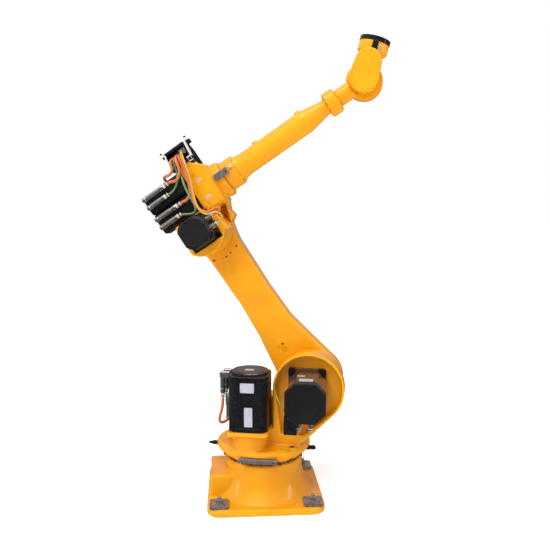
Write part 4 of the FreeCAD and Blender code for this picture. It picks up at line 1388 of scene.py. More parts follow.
@dataclass
class Plug:
    """A round metal plug: collar, fluted sleeve and clamp ring, then a bead, a ferrule and a band."""

    along: Along
    spot: Point
    start: float
    end: float
    radius: float

    def level(self, share: float) -> float:
        """Give a level by its share of the plug's length.

        Args:
            share: 0 at the seat and 1 at the tail.

        Returns:
            The level along the axis.
        """
        return self.start + share * (self.end - self.start)

    def shape(self) -> Shape:
        """Build the plug's metal body.

        Returns:
            The shape.
        """
        size = self.radius
        shape = Shape()
        shape.lathe(self.along, [(self.level(0.0), size * 0.9), (self.level(0.01), size),
                                 (self.level(0.1), size), (self.level(0.11), size * 0.9),
                                 (self.level(0.13), size * 0.9)],
                    self.spot, 48, 0.2)
        shape.lathe(self.along, [(self.level(0.12), size * 0.88), (self.level(0.135), size * 0.99),
                                 (self.level(0.60), size * 0.99), (self.level(0.615), size * 0.88)],
                    self.spot, 96, flutes=12, flute_depth=size * 0.09)
        shape.lathe(self.along, [(self.level(0.60), size * 0.86), (self.level(0.62), size * 0.96),
                                 (self.level(0.78), size * 0.96), (self.level(0.80), size * 0.84),
                                 (self.level(0.82), size * 0.84)], self.spot, 48, 0.25)
        return shape

    def bead(self) -> Shape:
        """Build the pale clamp nut and the pale band on the tail.

        Returns:
            The shape.
        """
        size = self.radius
        shape = Shape()
        shape.lathe(self.along, [(self.level(0.81), size * 0.74), (self.level(0.82), size * 0.86),
                                 (self.level(0.88), size * 0.86), (self.level(0.89), size * 0.7)],
                    self.spot, 36, 0.25)
        shape.lathe(self.along, [(self.level(0.965), size * 0.66), (self.level(0.97), size * 0.82),
                                 (self.level(0.995), size * 0.82), (self.level(1.0), size * 0.62)],
                    self.spot, 36, 0.25)
        return shape

    def ferrule(self) -> Shape:
        """Build the softer sleeve between the bead and the band.

        Returns:
            The shape.
        """
        size = self.radius
        return Shape().lathe(self.along, [(self.level(0.88), size * 0.66), (self.level(0.885), size * 0.68),
                                          (self.level(0.97), size * 0.62)], self.spot, 32, 0.2)

    def fill(self, metal: Shape, pale: Shape, tail: Shape) -> None:
        """Add the plug's pieces to the shapes of its set.

        Args:
            metal: Takes the body.
            pale: Takes the nut and the band.
            tail: Takes the ferrule.
        """
        join(metal, self.shape())
        join(pale, self.bead())
        join(tail, self.ferrule())


@dataclass
class AxisTwoMotor(Assembly):
    """The motor of axis 2 in its drum: varnished flange with black corners, body, cap, plugs and box."""

    lobe: float = 14.0
    screw_inset: float = 11.0

    def build(self) -> None:
        """Build the motor."""
        self.flange()
        self.casing()
        self.cap()
        self.labels()
        self.plugs()
        self.terminal_box()

    def flange(self) -> None:
        """Build the flange, its black corner pads and their screws."""
        low, high = self.place.box("a2_motor_flange")
        outline = rounded(rectangle((low.x, low.z), (high.x, high.z)), 10.0, 8)
        shape = Shape().plate(Along.Y, (low.y, high.y), outline, 1.2)
        self.add("a2_flange_plate", shape, Finishes.brown, "a2_motor_flange")
        pads, screws = Shape(), Shape()
        for side_x, x in ((1, low.x), (-1, high.x)):
            for side_z, z in ((1, low.z), (-1, high.z)):
                size = 2 * self.lobe
                corner = [(x, z), (x + side_x * size, z), (x + side_x * size * 0.72, z + side_z * size * 0.5),
                          (x + side_x * size * 0.5, z + side_z * size * 0.72), (x, z + side_z * size)]
                if side_x != side_z:
                    corner.reverse()
                pads.plate(Along.Y, (low.y - 4.0, high.y - 1.0),
                           rounded(corner, [8.0, 2.0, 5.0, 5.0, 2.0], 4), 1.0)
                spot = (x + side_x * self.screw_inset, z + side_z * self.screw_inset)
                screws.socket_screw(Along.Y, low.y - 4.0, spot, 5.2, -5.0)
        self.add("a2_flange_pads", pads, Finishes.black)
        self.add("a2_flange_screws", screws, Finishes.dark_steel)

    def casing(self) -> None:
        """Build the varnished body with its cut corners and seams."""
        low, high = self.place.box("a2_motor_body")
        corners = cut_square(low, high, 26.0)
        outline = rounded(corners, 3.0, 3)
        shape = Shape()
        shape.plate(Along.Y, (high.y - 20.0, high.y + 0.5), inset(outline, 2.0), 0.5)
        shape.plate(Along.Y, (low.y + 26.0, high.y - 19.0), outline, 1.2)
        shape.plate(Along.Y, (low.y + 22.0, low.y + 27.0), inset(outline, 1.6), 0.4)
        shape.plate(Along.Y, (low.y - 0.5, low.y + 23.0), outline, 1.2)
        self.add("a2_motor_casing", shape, Finishes.brown, "a2_motor_body")

    def cap(self) -> None:
        """Build the eight-sided cap with the faint ring on its face."""
        low, high = self.place.box("a2_motor_cap")
        corners = cut_square(low, high, 30.0)
        outline = rounded(corners, 4.0, 4)
        shape = Shape().plate(Along.Y, (low.y, high.y), outline, 3.0, 5)
        self.add("a2_cap_shell", shape, Finishes.cap, "a2_motor_cap")
        centre = ((low.x + high.x) / 2, (low.z + high.z) / 2)
        ring = Shape().tube(Along.Y, [(low.y + 0.3, 47.0), (low.y - 0.7, 47.4), (low.y - 0.7, 48.6),
                                      (low.y + 0.3, 49.0)], centre, 96)
        ring.tube(Along.Y, [(low.y + 0.3, 8.0), (low.y - 0.4, 8.4), (low.y - 0.4, 9.2), (low.y + 0.3, 9.6)],
                  centre, 48)
        self.add("a2_cap_rings", ring, Finishes.cap)

    def labels(self) -> None:
        """Put the bare label and the small yellow tab on top of the body."""
        high = self.place.box("a2_motor_body")[1]
        plate = Shape().block((133.0, -164.0, high.z - 0.4), (175.0, -134.0, high.z + 0.5), 0.3, 1.5)
        self.add("a2_motor_label", plate, Finishes.label)
        tab = Shape().block((122.0, -110.0, high.z - 0.4), (146.0, -98.0, high.z + 0.6), 0.3, 1.5)
        self.add("a2_motor_tab", tab, Finishes.cream)

    def plugs(self) -> None:
        """Build the two plugs under the motor."""
        low, high = self.place.box("a2_plugs")
        shape, pale, tails = Shape(), Shape(), Shape()
        for x in (low.x + 8.2, high.x - 8.2):
            Plug(Along.Z, (x, (low.y + high.y) / 2), high.z, low.z, 8.2).fill(shape, pale, tails)
        self.add("a2_plugs_metal", shape, Finishes.plug, "a2_plugs")
        self.add("a2_plugs_bands", pale, Finishes.bead)
        self.add("a2_plugs_ferrules", tails, Finishes.plug)

    def terminal_box(self) -> None:
        """Build the terminal box and its gland."""
        low, high = self.place.box("a2_terminal_box")
        shape = Shape()
        shape.block(tuple(low + Vector((0.5, 0.5, 3.2))), tuple(high - Vector((0.5, 0.5, 0))), 1.0, 4.0)
        shape.block(tuple(low), (high.x, high.y, low.z + 3.0), 0.8, 4.0)
        shape.lathe(Along.Z, [(high.z - 1.0, 5.0), (high.z + 3.0, 5.0), (high.z + 4.0, 4.0),
                              (high.z + 8.0, 3.4)], (91.0, -150.0), 24, 0.4)
        self.add("a2_terminal_case", shape, Finishes.black, "a2_terminal_box")
        screws = Shape()
        for x in (low.x + 5, high.x - 5):
            screws.socket_screw(Along.Y, low.y + 0.6, (x, high.z - 8), 2.6, -2.0, 18)
        self.add("a2_terminal_screws", screws, Finishes.dark_steel)


def join(shape: Shape, other: Shape) -> None:
    """Add one shape to another.

    Args:
        shape: The shape that grows.
        other: What it takes in.
    """
    start = len(shape.points)
    shape.points.extend(other.points)
    shape.faces.extend(tuple(index + start for index in face) for face in other.faces)


def cut_square(low: Vector, high: Vector, cut: float) -> list[Point]:
    """Give the outline of a square across Y with its corners cut off.

    Args:
        low: The box's lowest corner.
        high: The box's highest corner.
        cut: How much of each side a corner takes.

    Returns:
        Eight corners, counter-clockwise.
    """
    return [(low.x + cut, low.z), (high.x - cut, low.z), (high.x, low.z + cut), (high.x, high.z - cut),
            (high.x - cut, high.z), (low.x + cut, high.z), (low.x, high.z - cut), (low.x, low.z + cut)]


# ---------------------------------------------------------------- link arm

@dataclass
class LinkArm(Assembly):
    """The beam between axis 2 and axis 3, its pads, set screws and gear covers."""

    reach: float = 600.0

    def build(self) -> None:
        """Build the beam."""
        self.cast("link_arm_body", "link_arm_casting", Finishes.orange, 2.8, 10, grown=self.pads())
        self.bores()
        self.covers()

    def pads(self) -> Shape:
        """Build the pads that are cast on the near face.

        Returns:
            The pads.
        """
        low = self.place.box("link_arm_casting")[0]
        face = low.y
        shape = Shape()
        shape.lathe(Along.Y, [(face + 6, 17), (face - 2.2, 15)], (-13.5, 152.0), 28)
        shape.lathe(Along.Y, [(face + 6, 11), (face - 2.2, 9)], (-13.0, 137.0), 24)
        shape.lathe(Along.Y, [(face + 6, 9), (face - 1.6, 8)], (-5.0, 497.0), 24)
        return shape

    def bores(self) -> None:
        """Set the screws and bores of the near face, the bores dark inside with painted shade."""
        low = self.place.box("link_arm_casting")[0]
        face = low.y
        rims, cores = Shape(), Shape()
        for spot, size, rise in (((-13.5, 152.0), 3.6, 2.4), ((-13.0, 137.5), 2.2, 2.4),
                                 ((-5.0, 497.0), 3.0, 1.9), ((44.0, 508.0), 2.9, 0.2),
                                 ((14.5, 500.0), 2.6, 0.2), ((-16.0, 499.5), 2.0, 0.2),
                                 ((-47.0, 510.0), 3.2, 0.2)):
            rims.tube(Along.Y, [(face + 1, size), (face - rise - 0.9, size), (face - rise - 0.9, size + 0.9),
                                (face + 1, size + 1.6)], spot, 24)
            # Painted shade: the dark cores stand for the shade inside the bores.
            cores.lathe(Along.Y, [(face + 1, size + 0.1), (face - rise - 0.1, size + 0.1)], spot, 20)
        plate = Shape().block((-22.0, face - 0.5, 528.5), (-14.0, face + 1.0, 533.5), 0.3, 1.0)
        self.add("link_bore_rims", rims, Finishes.orange)
        self.add("link_bores", cores, Finishes.shadow)
        self.add("link_plate", plate, Finishes.label)

    def covers(self) -> None:
        """Build the two gear covers on the far face with their screws."""
        screws = Shape()
        for name, height, count in (("a2_gear_cover", 0.0, 10), ("a3_gear_cover", self.reach, 8)):
            low, high = self.place.box(name)
            radius = high.x
            profile = [(low.y - 1, radius), (high.y - 3, radius), (high.y, radius - 3),
                       (high.y, radius * 0.62), (high.y - 1.6, radius * 0.58), (high.y - 1.6, radius * 0.34),
                       (high.y, radius * 0.3), (high.y, 2.0)]
            shape = Shape().lathe(Along.Y, profile, (0.0, height), 72, 1.0)
            self.add(name + "_lid", shape, Finishes.orange, name)
            for step in range(count):
                angle = 2 * math.pi * (step + 0.5) / count
                around = radius * 0.82
                spot = (around * math.cos(angle), height + around * math.sin(angle))
                screws.socket_screw(Along.Y, high.y - 3.0, spot, 4.4, 2.9, 20)
        self.add("gear_cover_screws", screws, Finishes.dark_steel)


# ---------------------------------------------------------------- upper arm

@dataclass
class Elbow(Assembly):
    """The housing about axis 3: casting, cover with its bare plates, collar screws and index plate."""

    collar_rise: float = 103.5

    def build(self) -> None:
        """Build the housing."""
        self.cast("elbow_casting", "elbow_housing", Finishes.orange, 2.2, 8, grown=self.bosses())
        self.cover()
        self.collar_screws()
        self.index()

    def bosses(self) -> Shape:
        """Build the collar's bolt bosses.

        Returns:
            The bosses.
        """
        shape = Shape()
        for step in range(8):
            angle = 2 * math.pi * (step + 0.5) / 8
            spot = (53.0 * math.cos(angle), self.collar_rise + 53.0 * math.sin(angle))
            shape.lathe(Along.X, [(134, 9.0), (151, 9.0)], spot, 20)
        return shape

    def cover(self) -> None:
        """Build the near cover with its screws and its two bare plates."""
        low, high = self.place.box("housing_cover")
        corners = [(58.0, 42.0), (120.0, 42.0), (130.0, 165.0), (88.0, 201.0), (64.0, 139.0), (54.0, 98.0)]
        outline = rounded(corners, [6.0, 3.0, 4.0, 4.0, 14.0, 14.0], 5)
        shape = Shape().plate(Along.Y, (low.y, high.y + 1.0), outline, 1.8, 4)
        self.add("elbow_cover", shape, Finishes.orange, "housing_cover")
        screws, plates = Shape(), Shape()
        for spot in ((86.0, 157.0), (91.0, 192.0), (121.0, 160.0), (112.0, 49.0), (80.0, 57.5), (63.5, 52.0),
                     (64.0, 104.0)):
            screws.socket_screw(Along.Y, low.y + 0.3, spot, 3.2, -2.0, 20)
        for centre in ((87.6, 133.6), (85.5, 74.6)):
            outline = rounded(rectangle((centre[0] - 8.0, centre[1] - 4.6),
                                        (centre[0] + 8.0, centre[1] + 4.6)), 0.8, 3)
            plates.plate(Along.Y, (low.y - 0.5, low.y + 0.6), outline, 0.3)
        self.add("elbow_cover_screws", screws, Finishes.orange)
        self.add("elbow_cover_plates", plates, Finishes.label)

    def collar_screws(self) -> None:
        """Set the screws of the collar."""
        shape = Shape()
        for step in range(8):
            angle = 2 * math.pi * (step + 0.5) / 8
            spot = (52.0 * math.cos(angle), self.collar_rise + 52.0 * math.sin(angle))
            shape.socket_screw(Along.X, 150.6, spot, 4.2, 3.4, 20)
        self.add("collar_screws", shape, Finishes.orange)

    def index(self) -> None:
        """Build the index plate with its hole, and the pale block on its top edge, which is a painted
        highlight.
        """
        low, high = self.place.box("index_plate")
        outline = rounded(rectangle((low.x, low.z), (high.x, high.z)), 1.6, 3)
        shape = Shape().plate(Along.Y, (low.y, high.y), outline, 0.7)
        self.add("index_plate_steel", shape, Finishes.bare, "index_plate")
        ring, core = Shape(), Shape()
        spot = (173.5, 109.0)
        ring.tube(Along.Y, [(low.y + 0.5, 4.0), (low.y - 0.7, 4.0), (low.y - 0.7, 5.6),
                            (low.y + 0.5, 5.8)], spot, 28)
        core.lathe(Along.Y, [(low.y + 0.5, 4.1), (low.y - 0.1, 4.1)], spot, 24)
        self.add("index_ring", ring, Finishes.bare)
        self.add("index_bore", core, Finishes.rust_plug)
        # Painted highlight: this pale block stands for the highlight sliver along the plate's top-left edge.
        blocks = Shape()
        blocks.block((134.0, low.y + 0.4, high.z - 2.0), (147.0, low.y + 8.0, high.z + 3.0), 1.0, 1.2)
        self.add("index_plate_highlight", blocks, Finishes.cream)


@dataclass
class AxisThreeMotor(Assembly):
    """The motor of axis 3 in the housing's pocket: flange, body, round cap and two plugs."""

    def build(self) -> None:
        """Build the motor."""
        self.casing()
        self.cap()
        self.plugs()

    def casing(self) -> None:
        """Build the varnished flange in the pocket and the black body."""
        low, high = self.place.box("a3_motor_body")
        flange = rounded(rectangle((low.x - 3, low.z - 3), (high.x + 9, high.z + 3)), 5.0, 5)
        shape = Shape().plate(Along.Y, (high.y - 16.0, high.y + 0.5), flange, 1.0)
        self.add("a3_motor_flange", shape, Finishes.brown)
        outline = rounded(cut_square(low, high, 15.0), 3.0, 3)
        body = Shape()
        body.plate(Along.Y, (low.y + 26.0, high.y), outline, 1.0)
        body.plate(Along.Y, (low.y + 22.0, low.y + 27.0), inset(outline, 1.4), 0.4)
        body.plate(Along.Y, (low.y - 0.5, low.y + 23.0), outline, 1.0)
        self.add("a3_motor_casing", body, Finishes.black, "a3_motor_body")
        screws = Shape()
        for x in (low.x + 4, high.x - 3):
            for z in (low.z + 5, high.z - 5):
                screws.lathe(Along.Y, [(high.y - 8.0, 6.6), (high.y - 20.0, 6.6), (high.y - 21.5, 5.0)],
                             (x, z), 28, 0.5)
        self.add("a3_flange_screws", screws, Finishes.dark_steel)

    def cap(self) -> None:
        """Build the cap: eight-sided at the body, drawn over to a round face with a faint ring."""
        low, high = self.place.box("a3_motor_cap")
        radius = high.x
        corner = Vector((0.96 * radius, 0.0, 0.96 * radius))
        outer = resample(rounded(cut_square(-corner, corner, 0.4 * radius), 5.0, 5), 96)
        edge = [(0.9 * radius * math.cos(math.atan2(z, x)), 0.9 * radius * math.sin(math.atan2(z, x)))
                for x, z in outer]
        rings = []
        for level, share in ((high.y + 0.5, 0.0), (low.y + 7.0, 0.0), (low.y + 5.0, 0.1), (low.y + 2.5, 0.45),
                             (low.y + 1.0, 0.8), (low.y, 1.0)):
            rings.append([((1 - share) * a[0] + share * b[0], (1 - share) * a[1] + share * b[1], level)
                          for a, b in zip(outer, edge)])
        for level, size in ((low.y, 0.93), (low.y + 0.7, 0.91), (low.y + 0.7, 0.885),
                            (low.y, 0.87), (low.y, 0.02)):
            rings.append([(size * x, size * z, level) for x, z in edge])
        shape = Shape().loft([[Along.Y.point(level, (x, z)) for x, z, level in ring] for ring in rings])
        self.add("a3_cap_shell", shape, Finishes.cap, "a3_motor_cap")

    def plugs(self) -> None:
        """Build the two plugs that point along the forearm."""
        low, high = self.place.box("a3_plugs")
        shape, pale, tails = Shape(), Shape(), Shape()
        for level in (high.z - 8.2, low.z + 8.2):
            plug = Plug(Along.X, ((low.y + high.y) / 2, level), low.x - 6.0, high.x, 8.2)
            plug.fill(shape, pale, tails)
        self.add("a3_plugs_metal", shape, Finishes.plug, "a3_plugs")
        self.add("a3_plugs_bands", pale, Finishes.bead)
        self.add("a3_plugs_ferrules", tails, Finishes.copper)


@dataclass
class WristMotors(Assembly):
    """The three motors behind the housing, ribbed and black, and their four long plugs."""

    plug_radius: float = 8.2
    rows: tuple[float, float, float, float] = (180.0, 151.0, 106.5, 77.5)

    def build(self) -> None:
        """Build the motors and the plugs."""
        for number, name in enumerate(("wrist_motor_lower", "wrist_motor_upper", "wrist_motor_far")):
            self.motor(name, number == 2)
        self.plugs()

    def motor(self, name: str, is_small: bool) -> None:
        """Build one motor: rear cap, ribbed body and front flange.

        Args:
            name: The CAD node that it stands for.
            is_small: Whether it is the small far motor.
        """
        low, high = self.place.box(name)
        cut = 5.0 if is_small else 8.5
        corners = [(low.y + cut, low.z), (high.y - cut, low.z), (high.y, low.z + cut), (high.y, high.z - cut),
                   (high.y - cut, high.z), (low.y + cut, high.z), (low.y, high.z - cut), (low.y, low.z + cut)]
        outline = rounded(corners, 2.2, 3)
        shape = Shape()
        shape.plate(Along.X, (low.x, low.x + 30.0), outline, 2.4, 4)
        shape.plate(Along.X, (low.x + 28.0, low.x + 34.0), inset(outline, 1.5), 0.4)
        shape.plate(Along.X, (low.x + 32.0, high.x - 14.0), inset(outline, 0.3), 1.0)
        shape.plate(Along.X, (high.x - 16.0, high.x - 11.0), inset(outline, 1.8), 0.4)
        shape.plate(Along.X, (high.x - 12.0, high.x + 0.5), outline, 1.0)
        self.add(name + "_casing", shape, Finishes.black, name)
        screws = Shape()
        reach = 5.5 if is_small else 8.0
        for y in (low.y + reach, high.y - reach):
            for z in (low.z + reach, high.z - reach):
                screws.socket_screw(Along.X, low.x + 0.6, (y, z), 2.2 if is_small else 3.0, -1.6, 18)
        self.add(name + "_screws", screws, Finishes.dark_steel)

    def plugs(self) -> None:
        """Build the four plugs, each with its angled head on the motor's side."""
        low, high = self.place.box("wrist_plugs")
        middle = low.y + self.plug_radius
        metal, pale, tails = Shape(), Shape(), Shape()
        for number, level in enumerate(self.rows):
            end = high.x if number % 2 == 0 else high.x - 17.0
            plug = Plug(Along.X, (middle, level), low.x + 2.0, end, self.plug_radius)
            plug.fill(metal, pale, tails)
            metal.lathe(Along.X, [(low.x, 5.6), (low.x + 1.0, 7.2), (low.x + 3.0, 7.6)],
                        (middle, level), 32, 0.4)
            outline = rounded(rectangle((low.x + 1.0, level - 8.6), (low.x + 19.0, level + 8.6)), 3.0, 4)
            metal.plate(Along.Y, (middle, high.y + 0.3), outline, 0.8)
        self.add("wrist_plugs_metal", metal, Finishes.plug, "wrist_plugs")
        self.add("wrist_plugs_bands", pale, Finishes.bead)
        self.add("wrist_plugs_ferrules", tails, Finishes.copper)


@dataclass
class HarnessBox(Assembly):
    """The open-fronted box that gathers the leads, its edge strips, corner blocks and bracket."""

    wall: float = 3.0
    wing: tuple[Point, ...] = ((109.5, 182.6), (123.0, 171.0), (123.0, 225.0), (118.0, 266.0), (109.5, 266.0))

    def build(self) -> None:
        """Build the box."""
        self.bracket()
        self.walls()
        self.strips()
        self.blocks()

    def bracket(self) -> None:
        """Build the bracket on the block and the wing that stands beside the box."""
        low, high = self.place.box("harness_frame")
        shape = Shape().block((30.0, low.y, 201.0), (112.0, high.y, 213.0), 1.0, 2.0)
        shape.plate(Along.Y, (-44.0, -38.0), list(self.wing), 1.0)
        self.add("harness_bracket", shape, Finishes.black, "harness_frame")
        screws = Shape()
        for y in (low.y + 8, high.y - 8):
            screws.socket_screw(Along.X, 30.3, (y, 207.0), 3.2, -2.2, 18)
        self.add("harness_bracket_screws", screws, Finishes.steel)

    def walls(self) -> None:
        """Build the walls of the box, open to the near side, and the terminal blocks inside."""
        low, high = self.place.box("harness_box")
        thick = self.wall
        shape = Shape()
        shape.block((low.x, low.y, low.z), (low.x + thick, high.y, high.z), 0.5)
        shape.block((high.x - thick, low.y, low.z), (high.x, high.y, high.z), 0.5)
        left, right = low.x + 0.4, high.x - 0.4
        shape.block((left, low.y + 0.4, high.z - thick - 5), (right, high.y - 0.4, high.z - 0.1), 0.5)
        shape.block((left, low.y + 20.0, low.z + 0.1), (right, high.y - 0.4, low.z + thick), 0.5)
        shape.block((left, high.y - thick, low.z + 0.4), (right, high.y - 0.1, high.z - 0.4), 0.5)
        self.add("harness_box_walls", shape, Finishes.black, "harness_box")
        inner = Shape()
        inner.block((low.x + 6, low.y + 10, low.z + 8), (low.x + 17, high.y - 4, low.z + 32), 1.2)
        inner.block((high.x - 30, low.y + 12, low.z + 20), (high.x - 7, high.y - 4, low.z + 40), 1.2)
        self.add("harness_terminals", inner, Finishes.bare)

    def strips(self) -> None:
        """Build the bright rail by the right edge of the opening, its clamp block and the left strip."""
        low = self.place.box("harness_box")[0]
        near = low.y - 3.0
        shape = Shape()
        shape.plate(Along.Y, (near, near + 16.0),
                    [(104.5, 203.0), (110.5, 203.0), (118.5, 266.5), (112.5, 266.5)], 0.8)
        shape.plate(Along.Y, (near, low.y + 1.0),
                    [(33.0, 250.0), (37.0, 246.0), (40.0, 258.0), (36.0, 262.0)], 0.5)
        shape.block((93.0, near - 1.0, 199.5), (109.5, low.y + 1.0, 205.5), 1.0)
        shape.block((93.0, near - 1.0, 212.5), (109.5, low.y + 1.0, 217.5), 1.0)
        shape.block((93.0, near - 1.0, 201.0), (98.0, low.y + 1.0, 216.0), 1.0)
        shape.block((104.5, near - 1.0, 201.0), (109.5, low.y + 1.0, 216.0), 1.0)
        shape.block((low.x + 6.0, near + 1.0, 211.5), (low.x + 17.0, low.y + 1.0, 218.0), 1.4, 1.5)
        self.add("harness_edge_strips", shape, Finishes.bead)

    def blocks(self) -> None:
        """Build the latches at the upper corners."""
        low = self.place.box("harness_box")[0]
        near = low.y - 2.0
        bright, dark = Shape(), Shape()
        bright.block((28.0, near, 257.5), (37.5, near + 12.0, 268.5), 1.4, 1.5)
        dark.block((26.0, near + 1.0, 268.0), (31.5, near + 9.0, 273.5), 1.0, 1.0)
        dark.block((26.5, near, 252.0), (34.0, near + 9.0, 258.0), 1.0, 1.0)
        bright.block((112.0, near, 262.0), (125.0, near + 12.0, 271.0), 1.4, 1.5)
        dark.block((119.5, near + 1.0, 270.5), (126.0, near + 9.0, 276.0), 1.0, 1.0)
        dark.block((120.0, near + 2.0, 249.0), (132.5, near + 16.0, 261.5), 1.4, 1.5)
        self.add("harness_latches", bright, Finishes.bead)
        self.add("harness_latch_pads", dark, Finishes.dark_steel)


@dataclass
class UpperArmLeads(Assembly):
    """The leads from the wrist motors and the axis 3 motor up to the harness box."""

    thick: float = 4.6
    thin: float = 3.2

    def build(self) -> None:
        """Lay the leads."""
        self.lead("power_jacket_upper", [
            (1, -80, 180), (10, -80, 180), (23, -87, 172), (38, -92, 170), (54, -97, 179),
            (63, -99, 194), (66, -98, 210), (66, -90, 226), (68, -70, 236), (73, -40, 238), (77, -8, 236),
        ], self.thick, Finishes.salmon, "power_lead_upper")
        self.lead("power_jacket_lower", [
            (1, -80, 106.5), (9, -80, 106.5), (24, -83, 103), (40, -85, 109), (52, -87, 124),
            (60, -89, 142), (66, -91, 160), (71, -92, 178), (75, -92, 202), (76, -85, 222),
            (77, -66, 234), (80, -40, 237), (82, -8, 235),
        ], self.thick, Finishes.salmon, "power_lead_lower")
        self.lead("encoder_jacket_upper", [
            (-27, -80, 151), (-17, -80, 151), (-2, -78, 150), (16, -74, 158), (32, -72, 172),
            (42, -72, 188), (48, -73, 206), (52, -71, 224), (60, -58, 238), (72, -36, 246), (78, -8, 246),
        ], self.thin, Finishes.green, "encoder_lead_upper")
        self.lead("encoder_jacket_lower", [
            (-27, -80, 77.5), (-17, -80, 77.5), (-2, -84, 68), (16, -88, 57), (31, -92, 58), (39, -96, 72),
            (42, -99, 92), (43, -100, 120), (48, -98, 148), (53, -89, 172), (56, -79, 194), (57, -74, 214),
            (62, -62, 232), (72, -40, 248), (78, -8, 250),
        ], self.thin, Finishes.green, "encoder_lead_lower")
        self.lead("a3_power_jacket", [
            (75, -108, 16), (86, -108, 16), (97, -109, 14), (102, -111, 23), (93, -113, 30),
            (77, -114, 29), (61, -114, 32), (50, -113, 46), (45, -112, 66), (49, -111, 88),
            (57, -110, 108), (66, -109, 130), (73, -108, 151), (80, -107, 176), (85, -104, 200),
            (88, -94, 220), (88, -70, 234), (87, -40, 240), (86, -8, 238),
        ], self.thick, Finishes.salmon, "a3_power_lead")
        self.lead("a3_encoder_jacket", [
            (75, -108, -12), (86, -108, -12), (94, -110, -6), (96, -116, 4), (92, -121, 14),
            (82, -123, 20), (70, -123, 22), (58, -123, 28), (50, -123, 41), (49, -122, 58),
            (52, -121, 78), (59, -120, 98), (67, -119, 118), (76, -118, 140), (83, -116, 164),
            (89, -113, 190), (92, -105, 212), (91, -86, 232), (88, -50, 246), (84, -8, 246),
        ], self.thin, Finishes.amber, "a3_encoder_lead")
        self.lead("far_motor_jacket", [
            (82, -10, 232), (70, -38, 236), (52, -58, 238), (44, -72, 232), (42, -81, 222), (41, -83, 209),
            (32, -79, 201), (18, -72, 200), (4, -61, 206), (-7, -41, 210), (-15, -17, 210), (-19, 7, 204),
            (-14, 26, 188), (-9, 33, 168), (-9, 33, 150),
        ], self.thick, Finishes.salmon, "far_motor_lead")


# ---------------------------------------------------------------- forearm

@dataclass
class Forearm(Assembly):
    """The tube that turns on axis 4: flange with its screws, bossed tube, wrist ring and fork."""

    screw_circle: float = 44.0
    screw_count: int = 12

    def build(self) -> None:
        """Build the forearm."""
        self.flange()
        self.cast("forearm_tube_casting", "forearm_tube", Finishes.orange, 2.2, 9, grown=self.bosses())
        self.ring()
        self.cast("wrist_fork_casting", "wrist_fork", Finishes.orange, 1.7, 8)
        self.fork_cover()

    def flange(self) -> None:
        """Build the flange with its groove and its ring of screws."""
        low, high = self.place.box("tube_flange")
        profile = [(low.x, 45.0), (low.x + 4.7, 45.0), (low.x + 4.7, 49.0), (high.x, 49.0), (high.x, 20.0)]
        shape = Shape().lathe(Along.X, profile, (0.0, 0.0), 96, 1.6)
        self.add("tube_flange_ring", shape, Finishes.orange, "tube_flange")
        screws = Shape()
        for step in range(self.screw_count):
            angle = 2 * math.pi * (step + 0.5) / self.screw_count
            spot = (self.screw_circle * math.cos(angle), self.screw_circle * math.sin(angle))
            screws.socket_screw(Along.X, high.x - 0.2, spot, 3.8, 4.0, 20)
        self.add("tube_flange_screws", screws, Finishes.orange)
        mark = Shape().block((184.0, -53.0, 8.5), (198.0, -40.0, 20.0), 1.0, 1.5)
        self.add("index_mark", mark, Finishes.cream)

    def bosses(self) -> Shape:
        """Build the two small bosses on top of the tube and its root fillet.

        Returns:
            The bosses.
        """
        low = self.place.box("forearm_tube")[0]
        shape = Shape()
        for x in (290.0, 451.0):
            shape.lathe(Along.Z, [(20.0, 11.0), (42.5, 9.0)], (x, 0.0), 28)
        shape.lathe(Along.X, [(low.x, 45.0), (low.x + 5, 42.0), (low.x + 14, 39.2), (low.x + 28, 37.6),
                              (low.x + 28, 5.0)], (0.0, 0.0), 72)
        return shape

    def ring(self) -> None:
        """Build the wrist ring with its bevelled rims and set screws."""
        low, high = self.place.box("wrist_ring")
        profile = [(low.x, 30.0), (low.x, 37.0), (low.x + 3.0, 40.0), (high.x - 6.0, 40.0), (high.x, 34.0),
                   (high.x, 22.0)]
        shape = Shape().lathe(Along.X, profile, (0.0, 0.0), 80, 1.8)
        self.add("wrist_ring_casting", shape, Finishes.orange, "wrist_ring")
        screws = Shape()
        for step in range(8):
            angle = 2 * math.pi * (step + 0.5) / 8
            spot = (31.0 * math.cos(angle), 31.0 * math.sin(angle))
            screws.socket_screw(Along.X, low.x + 0.2, spot, 3.0, -2.6, 18)
        self.add("wrist_ring_screws", screws, Finishes.orange)

    def fork_cover(self) -> None:
        """Build the cover and the screws on the far side of the fork's disc."""
        high = self.place.box("wrist_fork")[1]
        centre = (675.0, 0.0)
        cover = Shape().lathe(Along.Y, [(high.y - 2.0, 42.0), (high.y - 0.4, 42.0), (high.y - 0.4, 6.0)],
                              centre, 72, 0.4)
        self.add("fork_cover", cover, Finishes.orange)
        screws = Shape()
        for step in range(8):
            angle = 2 * math.pi * (step + 0.5) / 8
            spot = (centre[0] + 47.5 * math.cos(angle), 47.5 * math.sin(angle))
            screws.socket_screw(Along.Y, high.y - 2.4, spot, 3.4, 2.3, 20)
        self.add("fork_screws", screws, Finishes.dark_steel)


# ---------------------------------------------------------------- hand

